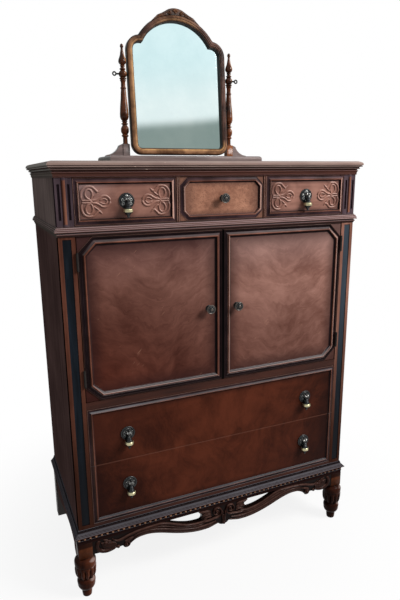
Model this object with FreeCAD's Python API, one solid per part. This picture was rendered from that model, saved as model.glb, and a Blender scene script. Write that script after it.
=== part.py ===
import FreeCAD, Part

import math
import os

Vector = FreeCAD.Vector

# Lengths are in millimetres: X runs to the right, Y to the back and Z up from the floor.
# While the pieces are made, the front face of the stiles is at Y = 0.

# Carcase
case_width = 914.0
case_depth = 459.0
stile_width = 43.0
stile_thickness = 22.0
side_thickness = 19.0
back_thickness = 6.0
panel_thickness = 16.0
partition_thickness = 9.0
top_thickness = 23.0
top_overhang = 16.0

# Heights that stack up from the floor to the top board
leg_height = 184.0
base_height = 43.0
sill_height = 8.0
long_opening = 356.0
middle_rail_height = 21.0
door_opening = 452.0
waist_height = 26.0
frieze_opening = 120.0
cornice_height = 17.0

# Widths and heights that divide the front
middle_drawer_opening = 260.0
lower_drawer_height = 185.0
shelf_height = 218.0

# Mouldings that wrap the case
base_overhang = 14.5
base_fillet_height = 11.5
base_fillet_overhang = 6.5
bead_course_height = 11.0
bead_course_overhang = 9.5
waist_overhang = 10.0
cornice_overhang = 5.5
moulding_fillet = 2.0

# Stile ornament
inlay_width = 22.0
inlay_depth = 3.0
inlay_thickness = 1.2
inlay_margin = 6.0
flute_width = 6.5
flute_depth = 3.0
flute_margin = 16.0
reed_width = 12.0
reed_rise = 2.5

# Fronts of the doors and drawers, and the moulding applied round them
front_thickness = 20.0
field_setback = 2.0
front_gap = 1.5
joint_gap = 1.0
frame_width = 16.0
frame_rise = 7.0
frame_lip_width = 4.0
frame_lip_rise = 2.2
frame_crest_inset = 11.0
frame_crest_width = 4.0
frame_edge = 0.8
door_frame_spread = 1.5
door_corner_cut = 40.0
drawer_corner_cut = 22.0
meeting_gap = 2.5

# Drawer boxes and what they run on
box_wall = 12.0
box_bottom = 6.0
box_side_gap = 1.0
box_seat_gap = 0.4
box_headroom = 14.0
box_rear_gap = 25.0
dust_panel_setback = 2.0
dust_panel_lift = 2.0
guide_height = 20.0
shelf_setback = 20.0
cleat_size = 18.0
cleat_end_gap = 15.0

# Butt hinges
hinge_length = 45.0
hinge_top_inset = 42.0
hinge_bottom_inset = 48.0
hinge_gap = 2.5
leaf_thickness = 1.1
leaf_depth = 20.0
knuckle_radius = 3.2
knuckle_stand_off = 3.6
knuckle_gap = 0.3
pin_radius = 1.5
pin_head_radius = 2.6
pin_head_height = 2.0
running_clearance = 0.05

# Knobs
knob_diameter = 27.0
knob_reach = 25.0
knob_rose_diameter = 19.0
knob_rose_thickness = 2.5
knob_stem_diameter = 11.0
knob_head_thickness = 10.0
knob_rim = 2.0
knob_boss_diameter = 13.0
knob_boss_rise = 2.0
knob_round = 0.5
door_knob_inset = 45.0

# Drop pulls
plate_diameter = 42.0
plate_rim = 1.5
plate_dome = 5.0
pull_pivot_reach = 12.5
pull_pivot_rise = 5.0
lug_radius = 3.4
lug_thickness = 2.5
eye_radius = 3.6
eye_width = 5.8
pull_pin_radius = 1.4
eye_gap = 0.3
drop_length = 48.0
drop_band_diameter = 25.0
drop_band_height = 6.0
drop_bell_height = 8.0
drop_ball_diameter = 12.0
drop_stem_radius = 2.2
drop_waist_radius = 3.2
drop_tip_radius = 2.0
drop_tip_height = 13.0
drop_edge = 0.5
drop_round = 1.0
long_pull_inset = 113.0
long_pull_rise = 79.5

# Turned front legs
block_size = 41.0
block_height = 48.5
block_stand_out = 6.5
foot_diameter = 30.0
foot_round = 4.0
ball_diameter = 53.0
leg_waist_diameter = 42.0
bulb_diameter = 64.0
bulb_dip_diameter = 60.0
neck_diameter = 36.0
leg_hollow = 1.5
foot_share = 0.2
ball_share = 0.295
low_roll_share = 0.355
high_roll_share = 0.11
roll_split = 0.6

# Rear legs
rear_leg_width = 28.0
rear_leg_depth = 34.0

# Aprons
apron_thickness = 18.0
apron_setback = 1.5
apron_pendant_drop = 69.0
apron_cusp_drop = 60.0
apron_cusp_half = 19.0
apron_swag_drop = 68.0
apron_arch_drop = 28.5
apron_leaf_drop = 50.5
apron_leaf_inset = 102.0
apron_leaf_width = 24.0
apron_shelf_drop = 41.0
apron_end_drop = 41.5
apron_hole_start = 78.0
apron_hole_end = 212.0
apron_hole_lean = 4.0
apron_hole_drop = 36.0
side_apron_stand_out = 2.0
side_apron_arch_drop = 61.0
side_apron_ear_drop = 90.0
side_apron_leg_gap = 2.0
side_apron_ear_gap = 2.5
side_apron_ear_width = 46.0
side_apron_rear_drop = 88.0

# Mirror stand
platform_width = 512.0
platform_depth = 157.0
platform_thickness = 22.0
platform_rear_margin = 72.0
platform_edge_radius = 8.0
post_setback = 96.5
mirror_side_gap = 1.5
post_block_size = 22.0
post_block_height = 38.0
post_collar_diameter = 20.0
post_ball_diameter = 26.0
post_vase_diameter = 27.0
post_shaft_diameter = 15.0
post_neck_diameter = 12.0
post_ring_diameter = 18.0
post_bead_height = 4.0
post_quirk = 2.0
post_round = 1.0
pivot_ball_diameter = 25.0
pivot_ball_height = 20.0
finial_diameter = 26.0
finial_tip_diameter = 7.0
finial_taper = 36.0
finial_hollow = 3.0
pivot_height = 242.5
bracket_reach = 54.0
bracket_thickness = 18.0
bracket_foot_height = 5.0
bracket_neck = 11.0

# Mirror
mirror_width = 331.0
mirror_lift = 4.5
mirror_arch_radius = 148.0
mirror_shoulder_height = 355.5
mirror_shoulder_radius = 45.0
mirror_corner_radius = 33.0
mirror_arch_rise = 68.0
mirror_frame_width = 20.0
mirror_frame_thickness = 22.0
mirror_step_inset = 4.0
mirror_step_rise = 4.0
mirror_rebate = 6.0
mirror_rebate_depth = 8.0
glass_thickness = 4.0
mirror_back_thickness = 3.0
mirror_fit_gap = 0.3
mirror_rest_tilt = 5.0
crest_half_width = 80.0
crest_shoulder = 60.0
crest_dip = 44.0
crest_hump = 24.0
crest_rise = 19.0
crest_hump_rise = 14.0
crest_shoulder_rise = 8.0
crest_thickness = 10.0

# Thumbscrews
screw_radius = 2.5
screw_grip = 10.0
screw_collar_radius = 5.0
screw_collar_gap = 0.3
screw_shank = 10.0
screw_ring_radius = 4.2
screw_ring_wire = 1.4

# Worked-out places
half_width = case_width / 2
opening_half = half_width - stile_width
inside_half = half_width - side_thickness
inside_back = case_depth - back_thickness
base_top = leg_height + base_height
long_low = base_top + sill_height
long_high = long_low + long_opening
long_joint = long_low + lower_drawer_height
door_low = long_high + middle_rail_height
door_high = door_low + door_opening
frieze_low = door_high + waist_height
frieze_high = frieze_low + frieze_opening
top_low = frieze_high + cornice_height
top_high = top_low + top_thickness
middle_half = middle_drawer_opening / 2
outer_drawer_start = middle_half + partition_thickness
front_back_face = field_setback + front_thickness
block_axis_x = half_width + block_stand_out - block_size / 2
block_axis_y = block_size / 2 - block_stand_out
platform_front = case_depth - platform_rear_margin - platform_depth
platform_top = top_high + platform_thickness
post_x = mirror_width / 2 + mirror_side_gap + post_vase_diameter / 2
post_y = platform_front + post_setback
pivot_z = platform_top + pivot_height
mirror_low = platform_top + mirror_lift
mirror_front = post_y - mirror_frame_thickness / 2
hinge_x = opening_half - hinge_gap / 2
hinge_y = -knuckle_stand_off
front_reach = max(knob_reach, pull_pivot_reach + drop_band_diameter / 2) - field_setback

pieces = {}


def block(x_range, y_range, z_range):
    """Rectangular solid between two values on each axis."""
    corner = Vector(x_range[0], y_range[0], z_range[0])
    return Part.makeBox(x_range[1] - x_range[0], y_range[1] - y_range[0], z_range[1] - z_range[0], corner)


def mirrored(shape):
    """The same shape on the other side of the centre line."""
    return shape.mirror(Vector(0, 0, 0), Vector(1, 0, 0))


def pair(shape):
    """A shape and its twin on the other side."""
    return [mirrored(shape), shape]


def line(first, last):
    """Straight edge between two points."""
    return Part.LineSegment(first, last).toShape()


def arc(first, middle, last):
    """Round edge through three points."""
    return Part.Arc(first, middle, last).toShape()


def curve(points):
    """Smooth edge through a few points."""
    spline = Part.BSplineCurve()
    spline.interpolate(points)
    return spline.toShape()


def outline(start, steps, place):
    """Closed face from a start point and steps: a point for a line, (middle, point) for an arc."""
    edges = []
    here = start
    for step in steps:
        if isinstance(step[0], tuple):
            middle, there = step
            edges.append(arc(place(here), place(middle), place(there)))
        else:
            there = step
            edges.append(line(place(here), place(there)))
        here = there
    if here != start:
        edges.append(line(place(here), place(start)))
    return Part.Face(Part.Wire(edges))


def front_plane(y):
    """Places an (x, z) point on the upright plane at y."""
    return lambda point: Vector(point[0], y, point[1])


def turned(start_radius, steps):
    """Turning about Z from Z = 0; each step gives a radius, a rise and how far an arc bows outward."""
    place = front_plane(0)
    edges = [line(place((0, 0)), place((start_radius, 0)))]
    radius = start_radius
    height = 0
    for next_radius, rise, bow in steps:
        here = (radius, height)
        there = (next_radius, height + rise)
        if bow:
            chord = math.hypot(next_radius - radius, rise)
            across = rise / chord * bow
            along = (radius - next_radius) / chord * bow
            middle = ((radius + next_radius) / 2 + across, height + rise / 2 + along)
            edges.append(arc(place(here), place(middle), place(there)))
        else:
            edges.append(line(place(here), place(there)))
        radius, height = there
    edges.append(line(place((radius, height)), place((0, height))))
    edges.append(line(place((0, height)), place((0, 0))))
    face = Part.Face(Part.Wire(edges))
    return face.revolve(Vector(0, 0, 0), Vector(0, 0, 1), 360)


def rounding(narrow, wide, rise):
    """How far an arc bows when it stands upright at its wider end."""
    chord = math.hypot(wide - narrow, rise)
    radius = chord ** 2 / (2 * (wide - narrow))
    return radius - math.sqrt(radius ** 2 - (chord / 2) ** 2)


def placed(shape, x, y, z):
    """A copy moved from the origin to a point."""
    return shape.translated(Vector(x, y, z))


def facing_front(shape):
    """Turns a shape made along +Z so that it stands out to the front."""
    return shape.rotated(Vector(0, 0, 0), Vector(1, 0, 0), 90)


def rod(radius, start, end):
    """Round bar along X between two points given as (x, y, z)."""
    return Part.makeCylinder(radius, end[0] - start[0], Vector(*start), Vector(1, 0, 0))


def wrap(low, reach, start, steps):
    """Front and side lengths of a moulding round the case, mitred at the front corners."""
    def across_front(point):
        return Vector(-half_width - reach, -point[0], low + point[1])

    def across_side(point):
        return Vector(half_width + point[0], -reach, low + point[1])

    def plan(points, height):
        corners = [Vector(x, y, low) for x, y in points]
        return Part.Face(Part.makePolygon(corners + corners[:1])).extrude(Vector(0, 0, height))

    height = max(step[1][1] if isinstance(step[0], tuple) else step[1] for step in steps)
    outer = half_width + reach
    front_corners = [(-outer, -reach), (outer, -reach), (half_width, 0), (-half_width, 0)]
    side_corners = [(half_width, 0), (outer, -reach), (outer, case_depth), (half_width, case_depth)]
    front = outline(start, steps, across_front).extrude(Vector(case_width + 2 * reach, 0, 0))
    side = outline(start, steps, across_side).extrude(Vector(0, case_depth + reach, 0))
    front = front.common(plan(front_corners, height)).Solids[0]
    side = side.common(plan(side_corners, height)).Solids[0]
    return [front] + pair(side)


def frame_section():
    """Section of the applied moulding: outer lip, quirk, slope, crest bead and steep inner drop."""
    half_crest = frame_crest_width / 2
    shoulder = frame_rise - half_crest
    quirk = frame_lip_rise - frame_edge
    return [
        (0, frame_lip_rise),
        ((frame_lip_width / 2, frame_lip_rise + frame_edge), (frame_lip_width, frame_lip_rise)),
        (frame_lip_width, quirk),
        (frame_lip_width + frame_edge, quirk),
        (frame_crest_inset - half_crest, shoulder),
        ((frame_crest_inset, frame_rise), (frame_crest_inset + half_crest, shoulder)),
        (frame_width - frame_edge, frame_edge),
        (frame_width, frame_edge),
        (frame_width, 0),
    ]


def frame_lengths(corners, spread=1.0):
    """Applied moulding round a counter-clockwise outline of (x, z) corners, one mitred length per side."""
    count = len(corners)
    normals = []
    for index in range(count):
        run = Vector(*corners[(index + 1) % count], 0) - Vector(*corners[index], 0)
        run.normalize()
        normals.append(Vector(-run.y, run.x, 0))
    inner = []
    for index in range(count):
        before = normals[index - 1]
        after = normals[index]
        offset = (before + after) * (frame_width * spread / (1 + before.dot(after)))
        inner.append((corners[index][0] + offset.x, corners[index][1] + offset.y))
    lengths = []
    for index in range(count):
        following = (index + 1) % count
        normal = normals[index]
        start = Vector(corners[index][0], field_setback, corners[index][1])
        run = Vector(corners[following][0], field_setback, corners[following][1]) - start
        inward = Vector(normal.x, 0, normal.y)

        def section(point):
            return start + inward * (point[0] * spread) + Vector(0, -point[1], 0)

        bar = outline((0, 0), frame_section(), section).extrude(run)
        quad = [corners[index], corners[following], inner[following], inner[index]]
        points = [Vector(x, field_setback, z) for x, z in quad]
        mitre = Part.Face(Part.makePolygon(points + points[:1])).extrude(Vector(0, -frame_rise, 0))
        lengths.append(bar.common(mitre).Solids[0])
    return lengths


def rectangle(x_range, z_range):
    """Counter-clockwise corners of an upright rectangle."""
    left, right = x_range
    low, high = z_range
    return [(left, low), (right, low), (right, high), (left, high)]


# Carcase boards
stile_zone = (leg_height, top_low)
stile_middle = half_width - stile_width / 2
inlay_zone = (base_top + 2 * inlay_margin, door_high - inlay_margin)
inlay_x = (stile_middle - inlay_width / 2, stile_middle + inlay_width / 2)


def front_stile():
    """Right stile with the groove for the inlay, and the flutes and reed beside the frieze."""
    stile = block((opening_half, half_width), (0, stile_thickness), stile_zone)
    stile = stile.cut(block(inlay_x, (0, inlay_depth), inlay_zone))
    flute_z = (frieze_low + flute_margin, frieze_high - flute_margin)
    for side in (-1, 1):
        centre = stile_middle + side * (reed_width / 2 + flute_width)
        flute_x = (centre - flute_width / 2, centre + flute_width / 2)
        stile = stile.cut(block(flute_x, (0, flute_depth), flute_z))

    def plan(point):
        return Vector(stile_middle + point[0], -point[1], frieze_low)

    half_reed = reed_width / 2
    reed = outline((half_reed, 0), [((0, reed_rise), (-half_reed, 0))], plan)
    return stile.fuse(reed.extrude(Vector(0, 0, frieze_opening))).removeSplitter()


pieces["front_stiles"] = pair(front_stile())
pieces["stile_inlays"] = pair(block(inlay_x, (inlay_depth - inlay_thickness, inlay_depth), inlay_zone))
pieces["side_panels"] = pair(block((inside_half, half_width), (stile_thickness, case_depth), stile_zone))
pieces["back_panel"] = [block((-inside_half, inside_half), (inside_back, case_depth), stile_zone)]

rail_x = (-opening_half, opening_half)
rail_y = (0, stile_thickness)
pieces["front_rails"] = [
    block(rail_x, rail_y, (leg_height, long_low)),
    block(rail_x, rail_y, (long_high, door_low)),
    block(rail_x, rail_y, (door_high, frieze_low)),
    block(rail_x, rail_y, (frieze_high, top_low)),
]

panel_x = (-inside_half, inside_half)
panel_y = (stile_thickness, inside_back)
upper_seat = long_joint + dust_panel_lift


def dust_panel(seat, setback=0.0):
    """Board whose top face is a drawer's or the cupboard's floor."""
    return block(panel_x, (panel_y[0] + setback, panel_y[1]), (seat - panel_thickness, seat))


pieces["dust_panels"] = [
    dust_panel(long_low),
    dust_panel(upper_seat, dust_panel_setback),
    dust_panel(door_low),
    dust_panel(frieze_low),
]
pieces["frieze_partitions"] = pair(
    block((middle_half, outer_drawer_start), (0, inside_back), (frieze_low, frieze_high))
)
shelf_low = door_low + shelf_height
shelf_y = (stile_thickness + shelf_setback, inside_back)
pieces["cupboard_shelf"] = [block(panel_x, shelf_y, (shelf_low, shelf_low + panel_thickness))]


def drawer_guide(seat):
    """Right-hand strip that fills the space between a drawer and the side of the case."""
    return block((opening_half, inside_half), (front_back_face + dust_panel_setback, inside_back),
                 (seat, seat + guide_height))


cleat_y = (shelf_y[0] + cleat_end_gap, shelf_y[1] - cleat_end_gap)
cleat = block((inside_half - cleat_size, inside_half), cleat_y, (shelf_low - cleat_size, shelf_low))
pieces["guides_and_cleats"] = pair(cleat)
for seat in (long_low, upper_seat, frieze_low):
    pieces["guides_and_cleats"] += pair(drawer_guide(seat))

# Mouldings round the case
bead_middle = base_fillet_height + bead_course_height / 2
torus_low = base_fillet_height + bead_course_height
torus_half = (base_height - torus_low) / 5
torus_high = torus_low + 2 * torus_half
base_steps = [
    (base_fillet_overhang, 0),
    (base_fillet_overhang, base_fillet_height),
    (bead_course_overhang - moulding_fillet, base_fillet_height),
    ((bead_course_overhang, bead_middle), (bead_course_overhang - moulding_fillet, torus_low)),
    (base_overhang - moulding_fillet, torus_low),
    ((base_overhang, torus_low + torus_half), (base_overhang - moulding_fillet, torus_high)),
    ((base_overhang / 2, (torus_high + base_height) / 2 - moulding_fillet),
     (moulding_fillet, base_height - moulding_fillet)),
    (moulding_fillet, base_height),
    (0, base_height),
]
pieces["base_moulding"] = wrap(leg_height, base_overhang, (0, 0), base_steps)

waist_bead = waist_height / 5
waist_neck = waist_overhang - moulding_fillet
waist_steps = [
    (moulding_fillet, 0),
    ((2 * moulding_fillet, waist_bead / 2), (moulding_fillet, waist_bead)),
    (2 * moulding_fillet, waist_bead),
    ((2 * moulding_fillet + (waist_neck - 2 * moulding_fillet) / 4, 2 * waist_bead - moulding_fillet / 2),
     (waist_neck, 2 * waist_bead + moulding_fillet / 2)),
    ((waist_overhang, 3 * waist_bead), (waist_neck, 4 * waist_bead - moulding_fillet)),
    (moulding_fillet, waist_height),
    (0, waist_height),
]
pieces["waist_moulding"] = wrap(door_high, waist_overhang, (0, 0), waist_steps)

cornice_neck = cornice_overhang - moulding_fillet
cornice_steps = [
    (moulding_fillet, 0),
    (moulding_fillet, moulding_fillet),
    ((moulding_fillet + (cornice_neck - moulding_fillet) / 4, cornice_height / 3),
     (cornice_neck, cornice_height / 2)),
    ((cornice_overhang, cornice_height / 2 + 2 * moulding_fillet),
     (cornice_neck, cornice_height - moulding_fillet / 2)),
    (cornice_neck, cornice_height),
    (0, cornice_height),
]
pieces["cornice_moulding"] = wrap(frieze_high, cornice_overhang, (0, 0), cornice_steps)


def top_board():
    """Top with a thumb-moulded edge at the front and the two ends."""
    steps = [
        (top_overhang / 2, 0),
        ((top_overhang, top_thickness / 3), (top_overhang - 2 * moulding_fillet, 2 * top_thickness / 3)),
        ((top_overhang / 2, top_thickness - 2 * moulding_fillet), (moulding_fillet, top_thickness)),
        (0, top_thickness),
    ]
    board = block((-half_width, half_width), (0, case_depth), (top_low, top_high))
    return board.multiFuse(wrap(top_low, top_overhang, (0, 0), steps)).removeSplitter()


pieces["top_board"] = [top_board()]


# Legs and aprons
def front_leg():
    """Square block over a turned neck, bulb of two rolls, ball and foot."""
    foot = foot_diameter / 2
    ball = ball_diameter / 2
    waist = leg_waist_diameter / 2
    bulb = bulb_diameter / 2
    dip = bulb_dip_diameter / 2
    neck = neck_diameter / 2
    turned_height = leg_height - block_height
    neck_share = 1 - foot_share - ball_share - low_roll_share - high_roll_share
    foot_rise = turned_height * foot_share - foot_round
    half_ball = turned_height * ball_share / 2
    low_swell = turned_height * low_roll_share * roll_split
    low_return = turned_height * low_roll_share - low_swell
    high_return = turned_height * high_roll_share * roll_split
    high_swell = turned_height * high_roll_share - high_return
    turning = turned(foot - foot_round, [
        (foot, foot_round, rounding(foot - foot_round, foot, foot_round)),
        (foot, foot_rise, -leg_hollow),
        (ball, half_ball, rounding(foot, ball, half_ball)),
        (waist, half_ball, rounding(waist, ball, half_ball)),
        (bulb, low_swell, rounding(waist, bulb, low_swell)),
        (dip, low_return, rounding(dip, bulb, low_return)),
        (bulb, high_swell, rounding(dip, bulb, high_swell)),
        (neck, high_return, rounding(neck, bulb, high_return)),
        (neck, turned_height * neck_share, -leg_hollow),
    ])
    half = block_size / 2
    square = block((-half, half), (-half, half), (turned_height, leg_height))
    return placed(turning.fuse(square), block_axis_x, block_axis_y, 0)


pieces["front_legs"] = pair(front_leg())
rear_leg_outer = half_width + block_stand_out
rear_leg_x = (rear_leg_outer - rear_leg_width, rear_leg_outer)
rear_leg_y = (case_depth - rear_leg_depth, case_depth)
pieces["rear_legs"] = pair(block(rear_leg_x, rear_leg_y, (0, leg_height)))

apron_half = block_axis_x - block_size / 2
apron_front = apron_setback - block_stand_out


def front_apron():
    """Pierced apron: pendant, two swags open above, leaf drops and level ends, cut in one board."""
    def place(x, drop):
        return Vector(x, apron_front, leg_height - drop)

    leaf_middle = apron_half - apron_leaf_inset
    leaf_in = leaf_middle - apron_leaf_width / 2
    leaf_out = leaf_middle + apron_leaf_width / 2
    swag_x = apron_cusp_half + (leaf_in - apron_cusp_half) / 5
    slope_x = (swag_x + leaf_in) / 2 - apron_cusp_half
    cusp = place(apron_cusp_half, apron_cusp_drop)
    leaf_start = place(leaf_in, apron_shelf_drop)
    leaf_end = place(leaf_out, apron_shelf_drop)
    end = place(apron_half, apron_end_drop)
    swag = [
        cusp,
        place(swag_x, apron_swag_drop),
        place(slope_x, (apron_swag_drop + apron_arch_drop) / 2),
        place(leaf_in - apron_leaf_width, apron_arch_drop),
        leaf_start,
    ]
    edges = [
        curve(swag),
        arc(leaf_start, place(leaf_middle, apron_leaf_drop), leaf_end),
        arc(leaf_end, place((leaf_out + apron_half) / 2, apron_end_drop + moulding_fillet), end),
        line(end, place(apron_half, 0)),
    ]
    edges += [mirrored(edge) for edge in edges]
    edges.append(arc(place(-apron_cusp_half, apron_cusp_drop), place(0, apron_pendant_drop), cusp))
    edges.append(line(place(-apron_half, 0), place(apron_half, 0)))
    board = Part.Face(Part.Wire(Part.__sortEdges__(edges))).extrude(Vector(0, apron_thickness, 0))
    hole_run = apron_hole_end - apron_hole_start
    corner = place(apron_hole_start, 0)
    side_low = place(apron_hole_start - apron_hole_lean, 2 * apron_hole_drop / 3)
    side_turn = place(apron_hole_start - apron_hole_lean / 2, 11 * apron_hole_drop / 12)
    bottom = place(apron_hole_start + apron_hole_lean, apron_hole_drop)
    tip = place(apron_hole_end, 0)
    band_top = [
        bottom,
        place(apron_hole_start + 2 * hole_run / 5, 6 * apron_hole_drop / 7),
        place(apron_hole_start + 7 * hole_run / 10, 6 * apron_hole_drop / 13),
        tip,
    ]
    hole_edges = [
        line(corner, side_low),
        arc(side_low, side_turn, bottom),
        curve(band_top),
        line(tip, corner),
    ]
    hole = Part.Face(Part.Wire(hole_edges)).extrude(Vector(0, apron_thickness, 0))
    return board.cut(hole).cut(mirrored(hole))


def side_apron():
    """Right side apron: notch over the front leg's turning, ear behind it, arch, and a low end at the rear leg."""
    outer = half_width + side_apron_stand_out
    front = block_axis_y + block_size / 2
    notch_end = block_axis_y + bulb_diameter / 2 + side_apron_leg_gap
    rear = case_depth - rear_leg_depth

    def place(y, drop):
        return Vector(outer, y, leg_height - drop)

    ear_start = notch_end + side_apron_ear_gap
    ear_end = ear_start + side_apron_ear_width
    first = place(front, block_height)
    notch_high = place(notch_end, block_height)
    notch_low = place(notch_end, side_apron_arch_drop)
    ear_front = place(ear_start, side_apron_arch_drop)
    ear_low = place((ear_start + ear_end) / 2, side_apron_ear_drop)
    arch = [
        place(ear_end, side_apron_arch_drop),
        place((ear_end + rear) / 2, side_apron_arch_drop),
        place((ear_end + 3 * rear) / 4, (side_apron_arch_drop + 3 * side_apron_rear_drop) / 4),
        place(rear, side_apron_rear_drop),
    ]
    edges = [
        line(first, notch_high),
        line(notch_high, notch_low),
        line(notch_low, ear_front),
        arc(ear_front, ear_low, arch[0]),
        curve(arch),
        line(arch[-1], place(rear, 0)),
        line(place(rear, 0), place(front, 0)),
        line(place(front, 0), first),
    ]
    return Part.Face(Part.Wire(edges)).extrude(Vector(-apron_thickness, 0, 0))


pieces["front_apron"] = [front_apron()]
pieces["side_aprons"] = pair(side_apron())


# Hinges: leaves on the stile and on the door edge, with a pin through three knuckles
knuckle_height = hinge_length / 3
hinge_lows = (door_low + hinge_bottom_inset, door_high - hinge_top_inset - hinge_length)


def hinge_leaf(low, plate_x, knuckles):
    """Right-hand leaf with its plate between two X values and its barrels at the given thirds."""
    leaf = block(plate_x, (0, leaf_depth), (low, low + hinge_length))
    for third in knuckles:
        barrel_low = low + third * knuckle_height + knuckle_gap / 2
        height = knuckle_height - knuckle_gap
        barrel = Part.makeCylinder(knuckle_radius, height, Vector(hinge_x, hinge_y, barrel_low))
        tab = block(plate_x, (hinge_y, 0), (barrel_low, barrel_low + height))
        leaf = leaf.fuse(barrel).fuse(tab)
    bore = Part.makeCylinder(pin_radius + running_clearance, hinge_length, Vector(hinge_x, hinge_y, low))
    return leaf.cut(bore).removeSplitter()


def hinge_pin(low):
    """Pin with a flat head at each end of the barrel."""
    pin = Part.makeCylinder(pin_radius, hinge_length, Vector(hinge_x, hinge_y, low))
    for base in (low - pin_head_height, low + hinge_length):
        pin = pin.fuse(Part.makeCylinder(pin_head_radius, pin_head_height, Vector(hinge_x, hinge_y, base)))
    return pin.removeSplitter()


stile_plate = (opening_half - leaf_thickness, opening_half)
door_edge = opening_half - hinge_gap
door_plate = (door_edge, door_edge + leaf_thickness)
stile_leaves = [hinge_leaf(low, stile_plate, (0, 2)) for low in hinge_lows]
door_leaves = [hinge_leaf(low, door_plate, (1,)) for low in hinge_lows]
pins = [hinge_pin(low) for low in hinge_lows]
pieces["hinge_leaves_and_pins"] = stile_leaves + pins
pieces["hinge_leaves_and_pins"] += [mirrored(solid) for solid in stile_leaves + pins]


# Knobs and drop pulls
def knob(x, z):
    """Turned knob on a rose: stem, rolled head and low boss."""
    head = knob_diameter / 2
    rose = knob_rose_diameter / 2
    stem = knob_stem_diameter / 2
    stem_rise = knob_reach - knob_rose_thickness - knob_head_thickness
    solid = turned(rose, [
        (rose, knob_rose_thickness / 2, 0),
        (stem, knob_rose_thickness / 2, 0),
        (stem, stem_rise, -knob_round),
        (head - knob_round, knob_head_thickness - knob_rim - knob_boss_rise, knob_round),
        (head - knob_rim, knob_rim, knob_round),
        (knob_boss_diameter / 2, 0, 0),
        (knob_boss_diameter / 6, knob_boss_rise, knob_round),
    ])
    return placed(facing_front(solid), x, field_setback, z)


def pull_plate(x, z):
    """Round domed plate with two lugs and the pin that the drop hangs on."""
    plate = turned(plate_diameter / 2, [
        (plate_diameter / 2, plate_rim, 0),
        (lug_radius, plate_dome - plate_rim, plate_rim / 2),
    ])
    plate = placed(facing_front(plate), x, field_setback, z)
    pivot_y = field_setback - pull_pivot_reach
    pivot = z + pull_pivot_rise
    inner = eye_width / 2 + eye_gap
    outer = inner + lug_thickness
    for lug_x in ((-outer, -inner), (inner, outer)):
        span = (x + lug_x[0], x + lug_x[1])
        arm = block(span, (pivot_y, field_setback - plate_rim), (pivot - lug_radius, pivot + lug_radius))
        round_end = rod(lug_radius, (span[0], pivot_y, pivot), (span[1], pivot_y, pivot))
        plate = plate.fuse(arm).fuse(round_end)
    pin = rod(pull_pin_radius, (x - outer, pivot_y, pivot), (x + outer, pivot_y, pivot))
    return plate.fuse(pin).removeSplitter()


def pull_drop(x, z):
    """Hanging drop: eye, stem, ball, bell, bright band and tip."""
    pivot_y = field_setback - pull_pivot_reach
    pivot = z + pull_pivot_rise
    band = drop_band_diameter / 2
    ball = drop_ball_diameter / 2
    stem_rise = eye_radius
    ball_rise = drop_length - drop_tip_height - drop_band_height - drop_bell_height - 2 * stem_rise
    turning = turned(drop_tip_radius / 2, [
        (drop_tip_radius, drop_tip_height / 3, drop_edge),
        (band * 2 / 3, drop_tip_height * 2 / 3, -drop_round),
        (band - drop_edge, drop_edge, 0),
        (band - drop_edge, drop_band_height - 2 * drop_edge, drop_edge),
        (band - drop_round, drop_edge, 0),
        (drop_waist_radius, drop_bell_height, -drop_round),
        (drop_stem_radius, ball_rise, ball - drop_waist_radius),
        (drop_stem_radius, 2 * stem_rise, 0),
    ])
    drop = placed(turning, x, pivot_y, pivot - drop_length)
    half = eye_width / 2
    eye = rod(eye_radius, (x - half, pivot_y, pivot), (x + half, pivot_y, pivot))
    bore = rod(pull_pin_radius + running_clearance, (x - half, pivot_y, pivot), (x + half, pivot_y, pivot))
    return drop.fuse(eye).cut(bore).removeSplitter()


# Doors
door_z = (door_low + front_gap, door_high - front_gap)
door_x = (meeting_gap / 2, door_edge)
door_corners = [
    (door_x[0], door_z[0]),
    (door_x[1] - door_corner_cut, door_z[0]),
    (door_x[1], door_z[0] + door_corner_cut),
    (door_x[1], door_z[1] - door_corner_cut),
    (door_x[1] - door_corner_cut, door_z[1]),
    (door_x[0], door_z[1]),
]
door_panel = block(door_x, (field_setback, front_back_face), door_z)
door_frame = frame_lengths(door_corners, door_frame_spread)
door_knob = knob(door_knob_inset, (door_z[0] + door_z[1]) / 2)
pieces["right_door_panel"] = [door_panel]
pieces["right_door_moulding"] = door_frame
pieces["right_door_knob"] = [door_knob]
pieces["right_door_hinge_leaves"] = door_leaves
pieces["left_door_panel"] = [mirrored(door_panel)]
pieces["left_door_moulding"] = [mirrored(length) for length in door_frame]
pieces["left_door_knob"] = [mirrored(door_knob)]
pieces["left_door_hinge_leaves"] = [mirrored(leaf) for leaf in door_leaves]


# Drawers
def drawer_box(x_range, z_range):
    """Two sides, a back and a bottom, standing behind a front."""
    left = x_range[0] + box_side_gap
    right = x_range[1] - box_side_gap
    low = z_range[0] + box_seat_gap
    high = z_range[1] - box_headroom
    rear = inside_back - box_rear_gap
    inner_x = (left + box_wall, right - box_wall)
    return [
        block((left, inner_x[0]), (front_back_face, rear), (low, high)),
        block((inner_x[1], right), (front_back_face, rear), (low, high)),
        block(inner_x, (rear - box_wall, rear), (low, high)),
        block(inner_x, (front_back_face, rear - box_wall), (low, low + box_bottom)),
    ]


def front_span(span):
    """A front's extent inside its opening."""
    return (span[0] + front_gap, span[1] - front_gap)


def front_board(x_range, z_range):
    """Plain board behind a drawer's moulding."""
    return block(x_range, (field_setback, front_back_face), z_range)


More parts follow.
